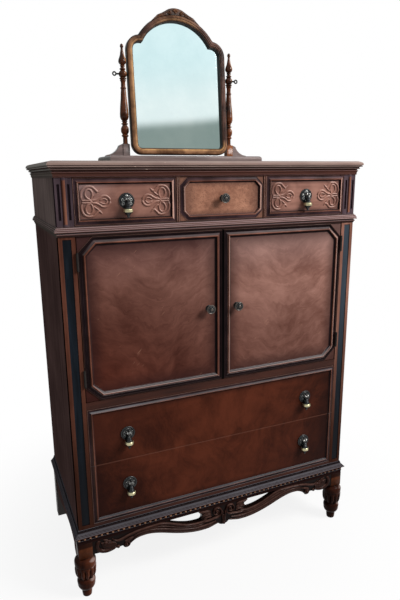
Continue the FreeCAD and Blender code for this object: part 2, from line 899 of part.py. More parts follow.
frieze_z = (frieze_low, frieze_high)
frieze_front_z = front_span(frieze_z)
outer_span = (outer_drawer_start, opening_half)
outer_front = front_span(outer_span)
outer_middle = (outer_span[0] + outer_span[1]) / 2
frieze_middle = (frieze_low + frieze_high) / 2
outer_frame = frame_lengths(rectangle(outer_front, frieze_front_z))
outer_box = drawer_box(outer_span, frieze_z)
pieces["right_frieze_drawer_front"] = [front_board(outer_front, frieze_front_z)]
pieces["right_frieze_drawer_moulding"] = outer_frame
pieces["right_frieze_drawer_box"] = outer_box
pieces["right_frieze_pull_plate"] = [pull_plate(outer_middle, frieze_middle)]
pieces["right_frieze_pull_drop"] = [pull_drop(outer_middle, frieze_middle)]
for piece in ("drawer_front", "drawer_moulding", "drawer_box", "pull_plate", "pull_drop"):
    pieces["left_frieze_" + piece] = [mirrored(solid) for solid in pieces["right_frieze_" + piece]]

middle_span = (-middle_half, middle_half)
middle_front = front_span(middle_span)
cut = drawer_corner_cut
middle_corners = [
    (middle_front[0] + cut, frieze_front_z[0]),
    (middle_front[1] - cut, frieze_front_z[0]),
    (middle_front[1], frieze_front_z[0] + cut),
    (middle_front[1], frieze_front_z[1] - cut),
    (middle_front[1] - cut, frieze_front_z[1]),
    (middle_front[0] + cut, frieze_front_z[1]),
    (middle_front[0], frieze_front_z[1] - cut),
    (middle_front[0], frieze_front_z[0] + cut),
]
pieces["middle_frieze_drawer_front"] = [front_board(middle_front, frieze_front_z)]
pieces["middle_frieze_drawer_moulding"] = frame_lengths(middle_corners)
pieces["middle_frieze_drawer_box"] = drawer_box(middle_span, frieze_z)
pieces["middle_frieze_drawer_knob"] = [knob(0, frieze_middle)]

long_span = (-opening_half, opening_half)
long_front = front_span(long_span)
long_frame = frame_lengths(rectangle(long_front, front_span((long_low, long_high))))
long_drawers = {
    "lower": (long_low, long_joint, long_low, upper_seat - panel_thickness),
    "upper": (long_joint, long_high, upper_seat, long_high),
}
for level, (low, high, seat, ceiling) in long_drawers.items():
    front_low = low + (front_gap if level == "lower" else joint_gap / 2)
    front_high = high - (front_gap if level == "upper" else joint_gap / 2)
    slab = block(long_span, (-frame_rise, front_back_face), (front_low, front_high))
    lengths = [length.common(slab) for length in long_frame]
    pieces[level + "_long_drawer_front"] = [front_board(long_front, (front_low, front_high))]
    pieces[level + "_long_drawer_moulding"] = [length.Solids[0] for length in lengths if length.Solids]
    pieces[level + "_long_drawer_box"] = drawer_box(long_span, (seat, ceiling))
    pull_x = opening_half - long_pull_inset
    pull_z = long_joint + (long_pull_rise if level == "upper" else -long_pull_rise)
    pieces[level + "_long_pull_plates"] = [pull_plate(x, pull_z) for x in (-pull_x, pull_x)]
    pieces[level + "_long_left_pull_drop"] = [pull_drop(-pull_x, pull_z)]
    pieces[level + "_long_right_pull_drop"] = [pull_drop(pull_x, pull_z)]


# Mirror stand
def mirror_platform():
    """Low board with a rounded upper edge that carries the posts."""
    half = platform_width / 2
    y_range = (platform_front, platform_front + platform_depth)
    board = block((-half, half), y_range, (top_high, platform_top))
    rim = [edge for edge in board.Edges if edge.BoundBox.ZMin > platform_top - platform_edge_radius]
    return board.makeFillet(platform_edge_radius, rim)


def mirror_post():
    """Right post: square block, turned ball, vase, shaft, pivot ball and finial."""
    collar = post_collar_diameter / 2
    neck = post_neck_diameter / 2
    ring = post_ring_diameter / 2
    ball = post_ball_diameter / 2
    vase = post_vase_diameter / 2
    shaft = post_shaft_diameter / 2
    finial = finial_diameter / 2
    tip = finial_tip_diameter / 2
    pivot_ball = pivot_ball_diameter / 2
    vase_rise = post_vase_diameter * 3 / 4
    vase_return = post_vase_diameter / 3
    foot = [
        (collar, post_bead_height, post_round),
        (neck, post_bead_height, -post_round),
        (neck, 4 * post_bead_height, 0),
        (ring, post_bead_height, 0),
        (ring, post_ball_diameter, ball - ring),
        (neck, post_quirk, 0),
        (ring, post_quirk, 0),
        (ring, post_bead_height, post_round),
        (neck, post_quirk, 0),
        (ring, post_quirk, 0),
        (vase, vase_rise, rounding(ring, vase, vase_rise)),
        (vase - post_round, vase_return, rounding(vase - post_round, vase, vase_return)),
    ]
    under_pivot = [
        (shaft + post_round, 0, 0),
        (shaft + post_round, post_quirk, post_round),
        (shaft, 0, 0),
        (shaft, pivot_ball_height, 0),
        (ring, post_quirk, 0),
        (ring, post_bead_height, post_round),
        (shaft, post_quirk, 0),
    ]
    used = sum(step[1] for step in foot + under_pivot)
    shaft_rise = pivot_height - post_block_height - used - pivot_ball_height / 2
    head = [
        (shaft, pivot_ball_height, pivot_ball - shaft),
        (ring, post_quirk / 2, 0),
        (ring, post_bead_height, post_round),
        (neck, post_quirk, 0),
        (neck, post_bead_height, 0),
        (ring, post_quirk, 0),
        (ring, post_bead_height, post_round),
        (neck, post_quirk / 2, 0),
        (finial, finial_diameter / 3, rounding(neck, finial, finial_diameter / 3)),
        (tip - post_round, finial_taper, -finial_hollow),
        (tip - post_round, finial_tip_diameter, post_round),
        (post_round, finial_tip_diameter, post_round / 2),
    ]
    turning = turned(collar, foot + [(shaft, shaft_rise, -post_round)] + under_pivot + head)
    half = post_block_size / 2
    square = block((-half, half), (-half, half), (-post_block_height, 0))
    post = placed(turning.fuse(square), post_x, post_y, platform_top + post_block_height)
    reach = post_block_size
    bore_radius = screw_radius + running_clearance
    return post.cut(rod(bore_radius, (post_x - reach, post_y, pivot_z), (post_x + reach, post_y, pivot_z)))


def platform_bracket():
    """Right scroll bracket between the platform and the outer face of the post's block."""
    inner = post_x + post_block_size / 2
    outer = inner + bracket_reach
    top = platform_top + post_block_height
    hollow = (inner + 2 * bracket_neck, platform_top + 2 * bracket_neck - bracket_foot_height)
    face = outline((inner, platform_top), [
        (outer, platform_top),
        (outer, platform_top + bracket_foot_height / 2),
        (outer - bracket_foot_height, platform_top + bracket_foot_height),
        (hollow, (inner + bracket_neck, top - bracket_foot_height)),
        (inner, top),
    ], front_plane(post_y - bracket_thickness / 2))
    return face.extrude(Vector(0, bracket_thickness, 0))


pieces["mirror_platform"] = [mirror_platform()] + pair(platform_bracket())
pieces["mirror_posts"] = pair(mirror_post())


# Mirror
def mirror_shape(inset, y_range):
    """Arched outline of the mirror, drawn in by an inset, between two Y values."""
    half = mirror_width / 2 - inset
    low = mirror_low + inset
    shoulder = mirror_low + mirror_shoulder_height - inset
    high_radius = mirror_shoulder_radius - inset
    low_radius = max(mirror_corner_radius - inset, mirror_fit_gap)
    arch_z = mirror_low + mirror_shoulder_height + mirror_arch_rise - mirror_arch_radius
    diagonal = 1 - math.sqrt(0.5)
    low_bend = low_radius * diagonal
    high_bend = high_radius * diagonal
    face = outline((-half + low_radius, low), [
        (half - low_radius, low),
        ((half - low_bend, low + low_bend), (half, low + low_radius)),
        (half, shoulder - high_radius),
        ((half - high_bend, shoulder - high_bend), (half - high_radius, shoulder)),
        (-half + high_radius, shoulder),
        ((-half + high_bend, shoulder - high_bend), (-half, shoulder - high_radius)),
        (-half, low + low_radius),
        ((-half + low_bend, low + low_bend), (-half + low_radius, low)),
    ], front_plane(y_range[0]))
    depth = y_range[1] - y_range[0]
    slab = face.extrude(Vector(0, depth, 0))
    start = Vector(0, y_range[0], arch_z)
    arch = Part.makeCylinder(mirror_arch_radius - inset, depth, start, Vector(0, 1, 0))
    return slab.fuse(arch).removeSplitter()


def tilted(shape):
    """Leans a mirror piece back about the thumbscrews' line."""
    return shape.rotated(Vector(0, post_y, pivot_z), Vector(1, 0, 0), -mirror_rest_tilt)


mirror_rear = mirror_front + mirror_frame_thickness
rebate_front = mirror_rear - mirror_rebate_depth
step_y = mirror_front + mirror_step_rise
sight_inset = mirror_frame_width
rebate_inset = sight_inset - mirror_rebate


def mirror_frame():
    """Moulded frame with a rebate for the glass and a socket for each thumbscrew."""
    rim = mirror_shape(0, (step_y, mirror_rear))
    raised = mirror_shape(mirror_step_inset, (mirror_front, step_y))
    frame = rim.fuse(raised)
    frame = frame.cut(mirror_shape(sight_inset, (mirror_front, mirror_rear)))
    frame = frame.cut(mirror_shape(rebate_inset, (rebate_front, mirror_rear)))
    edge = mirror_width / 2
    socket_radius = screw_radius + running_clearance
    for side in (-1, 1):
        ends = sorted((side * (edge - screw_grip), side * edge))
        frame = frame.cut(rod(socket_radius, (ends[0], post_y, pivot_z), (ends[1], post_y, pivot_z)))
    return frame.removeSplitter()


def mirror_crest():
    """Carved crest that sits on the top of the arch."""
    arch_top = mirror_low + mirror_shoulder_height + mirror_arch_rise
    arch_z = arch_top - mirror_arch_radius

    def on_arch(x):
        return (x, arch_z + math.sqrt(mirror_arch_radius ** 2 - x ** 2))

    def above(x, rise):
        return (x, on_arch(x)[1] + rise)

    hump = (crest_hump, arch_top + crest_hump_rise)
    dip = (crest_dip, arch_top + crest_shoulder_rise / 3)
    shoulder = above(crest_shoulder, crest_shoulder_rise)
    steps = [
        shoulder,
        dip,
        hump,
        ((0, arch_top + crest_rise), (-hump[0], hump[1])),
        (-dip[0], dip[1]),
        (-shoulder[0], shoulder[1]),
        on_arch(-crest_half_width),
        ((0, arch_top), on_arch(crest_half_width)),
    ]
    crest_front = post_y - crest_thickness / 2
    face = outline(on_arch(crest_half_width), steps, front_plane(crest_front))
    return face.extrude(Vector(0, crest_thickness, 0))


glass_y = (rebate_front, rebate_front + glass_thickness)
fit_inset = rebate_inset + mirror_fit_gap
pieces["mirror_frame"] = [tilted(mirror_frame())]
pieces["mirror_crest"] = [tilted(mirror_crest())]
pieces["mirror_glass"] = [tilted(mirror_shape(fit_inset, glass_y))]
back_y = (glass_y[1], glass_y[1] + mirror_back_thickness)
pieces["mirror_back"] = [tilted(mirror_shape(fit_inset, back_y))]


def thumbscrew():
    """Right screw: shank through the post into the frame, spacing collar and ring head."""
    frame_edge_x = mirror_width / 2
    start = (frame_edge_x - screw_grip + screw_collar_gap, post_y, pivot_z)
    post_outer = post_x + pivot_ball_diameter / 2
    end = (post_outer + screw_shank, post_y, pivot_z)
    screw = rod(screw_radius, start, end)
    collar_start = (frame_edge_x + screw_collar_gap, post_y, pivot_z)
    collar_end = (post_x - pivot_ball_diameter / 2 - screw_collar_gap, post_y, pivot_z)
    screw = screw.fuse(rod(screw_collar_radius, collar_start, collar_end))
    centre = Vector(end[0] + screw_ring_radius - screw_ring_wire / 2, post_y, pivot_z)
    ring = Part.makeTorus(screw_ring_radius, screw_ring_wire, centre, Vector(0, 1, 0))
    return screw.fuse(ring).removeSplitter()


screw = thumbscrew()
pieces["right_thumbscrew"] = [screw]
pieces["left_thumbscrew"] = [mirrored(screw)]

# The origin is on the floor, under the middle of the whole part
to_origin = Vector(0, (front_reach - case_depth) / 2, 0)
os.makedirs("parts", exist_ok=True)
for name, solids in pieces.items():
    shape = solids[0] if len(solids) == 1 else Part.makeCompound(solids)
    shape.translated(to_origin).exportStep("parts/" + name + ".step")
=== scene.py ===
import math

import bmesh
import bpy
from mathutils import Matrix, Vector


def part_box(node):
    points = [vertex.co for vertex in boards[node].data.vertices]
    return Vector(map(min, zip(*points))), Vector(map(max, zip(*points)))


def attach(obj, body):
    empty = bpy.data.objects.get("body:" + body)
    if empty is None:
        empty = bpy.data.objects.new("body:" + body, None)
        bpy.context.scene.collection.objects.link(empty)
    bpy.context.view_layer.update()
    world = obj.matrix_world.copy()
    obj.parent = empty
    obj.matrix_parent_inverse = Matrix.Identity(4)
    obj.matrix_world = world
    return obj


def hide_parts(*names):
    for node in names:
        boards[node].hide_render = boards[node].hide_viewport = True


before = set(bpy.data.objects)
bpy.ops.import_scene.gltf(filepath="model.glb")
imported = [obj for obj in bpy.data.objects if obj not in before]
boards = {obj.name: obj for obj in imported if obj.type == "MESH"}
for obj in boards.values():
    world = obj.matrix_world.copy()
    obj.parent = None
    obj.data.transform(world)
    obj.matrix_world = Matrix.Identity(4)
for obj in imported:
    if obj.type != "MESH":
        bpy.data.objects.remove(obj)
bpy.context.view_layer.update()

# Shapes are drawn in millimetres and made into meshes in metres; finishes read places in metres.
MM = 0.001
# Faces of the doors and drawers and of the stiles, the case's half width and back, and the pivot of the mirror
FIELD = -216.0
STILE_FACE = -218.0
CASE_HALF = 457.0
CASE_BACK = 241.0
PIVOT_Y = 108.5
PIVOT_Z = 1514.5
# Degrees over which an edge is drawn sharp
MOULDED = 28.0
CAST = 50.0

scene = bpy.context.scene


# Finishes
def worked(operation, turned=False):
    """A way to work with tones that adds a Math node; turned puts the other value first."""
    def work(tone, other=0.0):
        first, second = (other, tone) if turned else (tone, other)
        return tone.finish.node("ShaderNodeMath", {"operation": operation}, {0: first, 1: second})

    return work


class Tone:
    """One output among a finish's nodes; arithmetic on it adds Math nodes."""

    def __init__(self, finish, socket):
        self.finish = finish
        self.socket = socket

    __add__, __radd__ = worked("ADD"), worked("ADD", True)
    __sub__, __rsub__ = worked("SUBTRACT"), worked("SUBTRACT", True)
    __mul__, __rmul__ = worked("MULTIPLY"), worked("MULTIPLY", True)
    __truediv__, __rtruediv__ = worked("DIVIDE"), worked("DIVIDE", True)
    __pow__, __rpow__ = worked("POWER"), worked("POWER", True)
    __abs__ = worked("ABSOLUTE")
    most = worked("MAXIMUM")

    def __neg__(self):
        return self * -1.0

    def ease(self, low, high):
        """Rises smoothly from 0 at low to 1 at high."""
        return self.finish.node(
            "ShaderNodeMapRange",
            {"interpolation_type": "SMOOTHSTEP"},
            {0: self, 1: low, 2: high, 3: 0.0, 4: 1.0},
        )

    def fall(self, low, high):
        """Falls smoothly from 1 at low to 0 at high."""
        return 1.0 - self.ease(low, high)


class Finish:
    """The nodes of one material or of the studio's surroundings."""

    def __init__(self, tree):
        self.tree = tree

    def node(self, kind, settings=None, inputs=None, output=0):
        made = self.tree.nodes.new(kind)
        for name, value in (settings or {}).items():
            setattr(made, name, value)
        for key, value in (inputs or {}).items():
            self.feed(made.inputs[key], value)
        return Tone(self, made.outputs[output])

    def feed(self, socket, value):
        if isinstance(value, Tone):
            self.tree.links.new(value.socket, socket)
        else:
            socket.default_value = value

    def place(self):
        return self.node("ShaderNodeTexCoord", output="Object")

    def parts(self, vector):
        split = self.node("ShaderNodeSeparateXYZ", inputs={0: vector})
        return [Tone(self, output) for output in split.socket.node.outputs]

    def xyz(self):
        return self.parts(self.place())

    def vector(self, x, y, z):
        return self.node("ShaderNodeCombineXYZ", inputs={0: x, 1: y, 2: z})

    def noise(self, vector, scale, detail, rough=0.55, warp=0.0):
        spread = self.node("ShaderNodeVectorMath", {"operation": "MULTIPLY"}, {0: vector, 1: scale})
        return self.node(
            "ShaderNodeTexNoise",
            inputs={"Vector": spread, "Scale": 1.0, "Detail": detail, "Roughness": rough, "Distortion": warp},
        )

    def cloud(self, scale, detail, rough=0.55):
        """Noise of one scale in all directions."""
        return self.noise(self.place(), (scale, scale, scale), detail, rough)

    def mix(self, factor, first, second):
        """A colour between two others; three plain numbers are everyday 0 to 255 values."""
        inputs = {0: factor}
        for key, value in ((6, first), (7, second)):
            everyday = isinstance(value, tuple) and len(value) == 3
            inputs[key] = shade(*value) if everyday else value
        return self.node("ShaderNodeMix", {"data_type": "RGBA"}, inputs, 2)

    def facing(self):
        """How much the surface faces right, back and up, each from -1 to 1."""
        return self.parts(self.node("ShaderNodeNewGeometry", output="Normal"))

    def ridges(self):
        """Over one half on edges and ridges, under one half in hollows."""
        return self.node("ShaderNodeNewGeometry", output="Pointiness")

    def bump(self, height, depth, strength):
        return self.node("ShaderNodeBump", inputs={"Strength": strength, "Distance": depth, "Height": height})


def shade(red, green, blue):
    """A colour from its everyday 0 to 255 values."""
    def linear(value):
        value /= 255
        return value / 12.92 if value <= 0.04045 else ((value + 0.055) / 1.055) ** 2.4

    return (linear(red), linear(green), linear(blue), 1.0)


class Surface(Finish):
    """A named material with its main shader."""

    def __init__(self, name):
        self.material = bpy.data.materials.new(name)
        self.material.use_nodes = True
        super().__init__(self.material.node_tree)
        self.shader = self.tree.nodes["Principled BSDF"]
        self.colour = None

    def lay(self, factor, colour):
        """Lays a colour over what is there, as thickly as the factor says."""
        self.colour = self.mix(factor, self.colour, colour)

    def dress(self, roughness, normal=None, metallic=0.0, specular=0.5, coat=0.0, coat_rough=0.12):
        values = {
            "Base Color": self.colour,
            "Roughness": roughness,
            "Metallic": metallic,
            "Specular IOR Level": specular,
            "Coat Weight": coat,
            "Coat Roughness": coat_rough,
        }
        for name, value in values.items():
            self.feed(self.shader.inputs[name], value)
        if normal is not None:
            self.feed(self.shader.inputs["Normal"], normal)
        return self.material


# Heights between which a finish changes, in metres
OVER_DRAWERS = (0.595, 0.605)
FRIEZE_START = (1.07, 1.08)
FRIEZE_ENDS = (1.088, 1.09)
LEG_BLOCK = (0.1365, 0.1385)
# Ground of the carved apron and how far its carving stands out, in metres
APRON_GROUND = -0.2225
APRON_RELIEF = 0.006
BEAD_RELIEF = 0.0095
# Streaks and pores to the metre along x, y and z
UPRIGHT = (70.0, 70.0, 4.0)
ACROSS = (4.0, 70.0, 70.0)
INWARD = (70.0, 4.0, 70.0)
MIRROR_GRAIN = (30, 30, 12)
POST_GRAIN = (70, 70, 20)


def grain(surface, scale):
    """Streaks and pores of plain wood, each from 0 to 1."""
    place = surface.place()
    streaks = surface.noise(place, scale, 4.0, 0.6, 0.4)
    pores = surface.noise(place, [value * 9 for value in scale], 2.0, 0.5)
    return streaks, pores


def pored(surface, streaks, pores, depth, strength, open_share=1.0):
    """Relief of raised streaks and open pores."""
    return surface.bump(streaks * 0.4 - pores.ease(0.55, 0.75) * open_share, depth, strength)


def shade_in_hollows(ridges, top=0.495):
    """1 in the hollows of a moulding or carving, 0 elsewhere; it marks where shade is painted into them."""
    return ridges.fall(0.42, top)


def off_case(surface):
    """How far a point stands out from the front or the sides of the case, in metres."""
    x, y, _ = surface.xyz()
    return (STILE_FACE * MM - y).most(abs(x) - CASE_HALF * MM)


def plain_wood(name, dark, light, scale, roughness, specular):
    """Plain wood with streaks along one axis and fine open pores."""
    surface = Surface(name)
    streaks, pores = grain(surface, scale)
    cloud = surface.cloud(6, 2.0)
    tone = streaks * 0.6 + cloud * 0.5 - 0.05
    surface.colour = surface.mix(tone.ease(0.25, 0.8), dark, light)
    deep = [value * 0.45 for value in shade(*dark)[:3]] + [1]
    surface.lay(pores.ease(0.58, 0.72) * 0.45, deep)
    gloss = (streaks - 0.5) * 0.16 + roughness
    return surface.dress(gloss, pored(surface, streaks, pores, 0.0002, 0.6), specular=specular)


def side_walnut():
    """Sides of the case: dull brown, paler above the waist."""
    surface = Surface("side_walnut")
    streaks, pores = grain(surface, UPRIGHT)
    cloud = surface.cloud(6, 2.0)
    tone = (streaks * 0.6 + cloud * 0.5).ease(0.3, 0.85)
    lower = surface.mix(tone, (82, 62, 59), (122, 95, 90))
    upper = surface.mix(tone, (118, 102, 97), (164, 145, 138))
    surface.colour = surface.mix(surface.xyz()[2].ease(1.05, 1.1), lower, upper)
    gloss = 0.6 + (streaks - 0.5) * 0.16
    return surface.dress(gloss, pored(surface, streaks, pores, 0.0002, 0.6), specular=0.0)


def worn_moulding(name, depth, hollow, body, wear_and_sheen, upward_sheen, chipped=0.0, painted_light=None):
    """Dark moulding: near black in its grooves and where it sinks to the case by painted shade, warmer where it stands
    out, greyed by a painted sheen where it faces up and paler by a painted reflection where it faces left.
    """
    surface = Surface(name)
    streaks, pores = grain(surface, ACROSS)
    rise = off_case(surface) / depth
    rub = surface.noise(surface.place(), (9, 9, 30), 3.0)
    # Painted shade: near black where the moulding sinks to the case
    surface.colour = surface.mix(rise.ease(0.05, 0.55), hollow, body)
    bare = (rise + (rub - 0.5) * 0.3).ease(0.8, 1.05)
    surface.lay(bare, wear_and_sheen)
    surface.lay(streaks.ease(0.5, 0.8) * 0.3, hollow)
    # Painted sheen: grey where the moulding faces up
    surface.lay(surface.facing()[2].ease(0.2, 0.85) * (rub * 0.5 + 0.35), upward_sheen)
    if painted_light:
        # Painted reflection: paler where the moulding faces left
        surface.lay((-surface.facing()[0]).ease(0.4, 0.8) * 0.85, painted_light)
    ridges = surface.ridges()
    # Painted shade: near black in the hollows
    surface.lay(shade_in_hollows(ridges) * 0.9, hollow)
    chips = surface.noise(surface.place(), (60, 60, 160), 2.0).ease(0.69, 0.73)
    surface.lay(ridges.ease(0.52, 0.6) * chips * chipped, (206, 180, 164))
    gloss = 0.34 + (rub - 0.5) * 0.16
    height = streaks * 0.5 - pores.ease(0.55, 0.75) * 0.6
    return surface.dress(gloss, surface.bump(height, 0.0001, 0.35), specular=0.0)


def frame_walnut(name, hollow, body, upward_sheen, rubbed, dull, shade_below_frieze=0.45):
    """Moulding of the doors and drawers: greyed by a painted sheen where it faces up, lightened by a painted highlight
    where it faces right, with painted shade on its left-facing slopes, in its hollows, where the doors meet and below
    the frieze.
    """
    surface = Surface(name)
    x, _, z = surface.xyz()
    streaks = surface.cloud(14, 3.0, 0.6)
    rub = surface.cloud(5, 3.0)
    right, _, up = surface.facing()
    above_drawers = z.ease(*OVER_DRAWERS)
    frieze = z.ease(*FRIEZE_START)
    bright_highlight_share = frieze.most(x.ease(-0.004, 0.004) * above_drawers)
    lower_run = (frieze * z.fall(1.145, 1.155)).most(z.fall(0.83, 0.85))
    surface.colour = surface.mix(streaks.ease(0.3, 0.75), hollow, body)
    # Painted shade: darker below the frieze
    surface.lay((1.0 - frieze) * shade_below_frieze, (26, 16, 16))
    # Painted shade: darker where the moulding faces left
    surface.lay((-right).ease(0.2, 0.6) * 0.55, (25, 16, 18))
    # Painted highlight where the moulding faces right, weaker on the left door and the long drawers
    bare = right.ease(0.2, 0.6) * (rub * 0.5 + 0.45 + frieze * 0.2)
    surface.lay(bare, surface.mix(bright_highlight_share, dull, rubbed))
    # Painted sheen where the moulding faces up: blue-grey on the long drawers, browner on the frieze, strongest on the
    # lower runs
    wear_and_sheen = surface.mix(frieze, upward_sheen, (152, 112, 100))
    wear_and_sheen = surface.mix(above_drawers, (150, 152, 157), wear_and_sheen)
    greyed = (lower_run * 0.8 + 0.2) * (above_drawers * 0.3 + 0.7)
    top_run = z.ease(0.5, 0.52) * (1.0 - above_drawers)
    greyed = greyed * (1.0 - top_run * x.ease(-0.35, -0.1) * 0.6)
    surface.lay(up.ease(0.2, 0.6) * (rub * 0.6 + 0.35) * greyed, wear_and_sheen)
    ridges = surface.ridges()
    # Painted shade: near black in the hollows
    surface.lay(shade_in_hollows(ridges) * 0.9, (10, 6, 7))
    surface.lay(ridges.ease(0.53, 0.62) * 0.3, (180, 134, 114))
    # Painted shade: near black where the two doors meet
    door_gap_shade = abs(x).fall(0.003, 0.0045) * above_drawers * (1.0 - frieze)
    surface.lay(door_gap_shade, (6, 4, 4))
    fine = surface.cloud(300, 2.0)
    return surface.dress(0.3 + (rub - 0.5) * 0.16, surface.bump(fine, 0.00004, 0.3), specular=0.03)


# Middle in x and z, and half width and height, of the veneered fields, in metres
DOOR_MIDDLE = 0.2064
FIELDS = {
    "doors": (DOOR_MIDDLE, 0.838, 0.19, 0.208),
    "long_drawers": (0.0, 0.413, 0.398, 0.162),
    "outer_drawers": (0.2765, 1.15, 0.121, 0.044),
    "middle_drawer": (0.0, 1.15, 0.114, 0.044),
}


def border_shade(surface, field, reach):
    """Painted shade that darkens the border of a field or of a matched pair of fields."""
    x, _, z = surface.xyz()
    middle_x, middle_z, half_x, half_z = FIELDS[field]
    edge = abs((abs(x) - middle_x) / half_x).most(abs((z - middle_z) / half_z))
    return edge.ease(1.0 - reach, 1.0)


def door_veneer():
    """Feathered veneer, matched about each door's middle; painted light makes it paler and greyer towards the upper
    right.
    """
    surface = Surface("door_veneer")
    x, _, z = surface.xyz()
    place = surface.place()
    away = abs(abs(x) - DOOR_MIDDLE)
    wander = surface.cloud(9, 4.0, 0.6)
    slope = z - away * 0.42 + (wander - 0.5) * 0.12
    laid = surface.vector(away, 0.0, slope)
    feather = surface.noise(laid, (11, 1, 38), 5.0, 0.65, 0.6)
    ripple = surface.noise(laid, (34, 1, 110), 3.0, 0.6, 0.4)
    fine = surface.noise(laid, (80, 1, 420), 3.0, 0.6)
    cloud = surface.noise(place, (5, 5, 4), 4.0, 0.6, 0.6)
    tone = (feather * 0.36 + ripple * 0.1 + fine * 0.12 + cloud * 0.58).ease(0.36, 0.82)
    # Painted light and shade: low and high are shaded and lit copies of the veneer, mixed by a level that rises to the
    # top and the right
    low = surface.mix(tone, (46, 15, 9), (96, 43, 28))
    high = surface.mix(tone, (116, 75, 64), (190, 144, 130))
    level = z.ease(0.6, 1.07) * 0.42 + x.ease(-0.42, 0.42) * 0.56 + (cloud - 0.5) * 0.18
    surface.colour = surface.mix(level.ease(-0.12, 1.15), low, high)
    # Painted sheen: a lilac haze over the top of the left door, a pale one over the right
    head = surface.mix(x.ease(-0.1, 0.1), (80, 54, 58), (162, 134, 130))
    surface.lay(z.ease(0.9, 1.05) * 0.4, head)
    # Painted shade along the border of each field
    border = border_shade(surface, "doors", 0.26)
    surface.lay(border * 0.7, (40, 22, 23))
    # Painted shade: near black at the edges where the doors meet
    surface.lay(abs(x).fall(0.003, 0.006), (5, 3, 3))
    scratch = surface.noise(surface.vector(x + z, 0.0, x - z), (22, 1, 420), 0.0)
    spots = surface.noise(place, (17, 17, 13), 0.0)
    nick = scratch.ease(0.76, 0.8) * spots.ease(0.64, 0.7)
    surface.lay(nick * 0.6, (200, 150, 125))
    gloss = 0.4 + (fine - 0.5) * 0.14 + border * 0.08
    height = fine * 0.4 + ripple * 0.3 - nick
    return surface.dress(gloss, surface.bump(height, 0.0001, 0.4), specular=0.05)


def long_veneer():
    """Dark red-brown mottled veneer with a faint flame in the middle of the two long drawers."""
    surface = Surface("long_drawer_veneer")
    x, _, z = surface.xyz()
    place = surface.place()
    away = abs(x - 0.02)
    wander = surface.cloud(6, 4.0, 0.6)
    fan = away - (z - 0.235) * 0.3 + (wander - 0.5) * 0.16
    flame = surface.noise(surface.vector(fan, 0.0, z), (22, 1, 7), 4.0, 0.62, 1.0)
    fine = surface.noise(surface.vector(fan, 0.0, z), (200, 1, 40), 3.0, 0.6)
    cloud = surface.noise(place, (8, 8, 9), 4.0, 0.62, 0.8)
    near = away.fall(0.05, 0.42)
    tone = flame * (near * 0.34 + 0.14) + fine * 0.14 + cloud * 0.56
    surface.colour = surface.mix(tone.ease(0.3, 0.74), (40, 16, 10), (97, 48, 32))
    surface.lay(near * 0.15, (90, 42, 23))
    # Painted shade along the border of the two fields
    border = border_shade(surface, "long_drawers", 0.12)
    surface.lay(border * 0.5, (28, 12, 10))
    surface.lay(x.ease(0.05, 0.42) * z.fall(0.26, 0.5) * 0.66, (30, 12, 10))
    surface.lay(x.fall(-0.42, -0.15) * z.ease(0.42, 0.5) * 0.3, (106, 54, 39))
    # Painted highlight along the top edge of the lower drawer
    edge = z.ease(0.416, 0.417) * z.fall(0.4196, 0.42)
    surface.lay(edge * 0.34, (128, 84, 70))
    gloss = 0.42 + (fine - 0.5) * 0.12
    height = fine * 0.4 + flame * 0.3
    return surface.dress(gloss, surface.bump(height, 0.0001, 0.4), specular=0.05)


def frieze_veneer():
    """Paler brown ground of the two carved frieze drawers, with a painted sheen at the upper left, painted shade at the
    borders and in the hollows, and painted light and shade on the bows.
    """
    surface = Surface("frieze_veneer")
    x, y, z = surface.xyz()
    streaks, pores = grain(surface, ACROSS)
    cloud = surface.noise(surface.place(), (11, 11, 17), 3.0, 0.6, 0.5)
    tone = streaks * 0.35 + cloud * 0.75
    surface.colour = surface.mix(tone.ease(0.3, 0.8), (106, 68, 58), (162, 116, 101))
    # Painted shade along the border of each field
    border = border_shade(surface, "outer_drawers", 0.3)
    surface.lay(border * 0.6, (66, 40, 38))
    # Painted sheen: a lilac haze over the upper left of the left drawer
    painted_sheen = x.fall(-0.4, -0.28) * z.ease(1.13, 1.19) * 0.35
    surface.lay(painted_sheen, (176, 152, 152))
    raised = (FIELD * MM - y).ease(0.0004, 0.002)
    surface.lay(raised * 0.25, (158, 108, 90))
    ridges = surface.ridges()
    proud = (FIELD * MM - y).ease(0.0, 0.0004)
    right, _, up = surface.facing()
    toward_light = right * 0.6 + up * 0.8
    # Painted shade in the hollows of the bows
    surface.lay(proud * shade_in_hollows(ridges, 0.5) * 0.7, (60, 34, 28))
    # Painted shade where the bows face away from the light, painted highlight where they face it
    surface.lay(proud * (-toward_light).ease(0.1, 0.7) * 0.5, (70, 41, 35))
    surface.lay(proud * toward_light.ease(0.1, 0.7) * 0.5, (222, 186, 174))
    gloss = 0.36 + (cloud - 0.5) * 0.14
    return surface.dress(gloss, pored(surface, streaks, pores, 0.00015, 0.5, 0.7), specular=0.25)


def speckled_veneer():
    """Golden veneer of the middle drawer, thick with small dark eyes."""
    surface = Surface("speckled_veneer")
    place = surface.place()
    eyes = surface.noise(place, (300, 300, 380), 2.0, 0.5)
    mottle = surface.noise(place, (70, 70, 90), 3.0, 0.6, 0.6)
    cloud = surface.cloud(9, 2.0)
    tone = mottle * 0.6 + cloud * 0.5
    surface.colour = surface.mix(tone.ease(0.3, 0.8), (132, 86, 67), (186, 133, 107))
    speck = eyes.ease(0.54, 0.68)
    surface.lay(speck * 0.55, (86, 54, 40))
    # Painted shade along the border of the field
    border = border_shade(surface, "middle_drawer", 0.42)
    surface.lay(border * 0.6, (70, 42, 36))
    gloss = 0.38 + speck * 0.12
    return surface.dress(gloss, surface.bump(mottle - speck * 0.5, 0.0001, 0.5), specular=0.22)


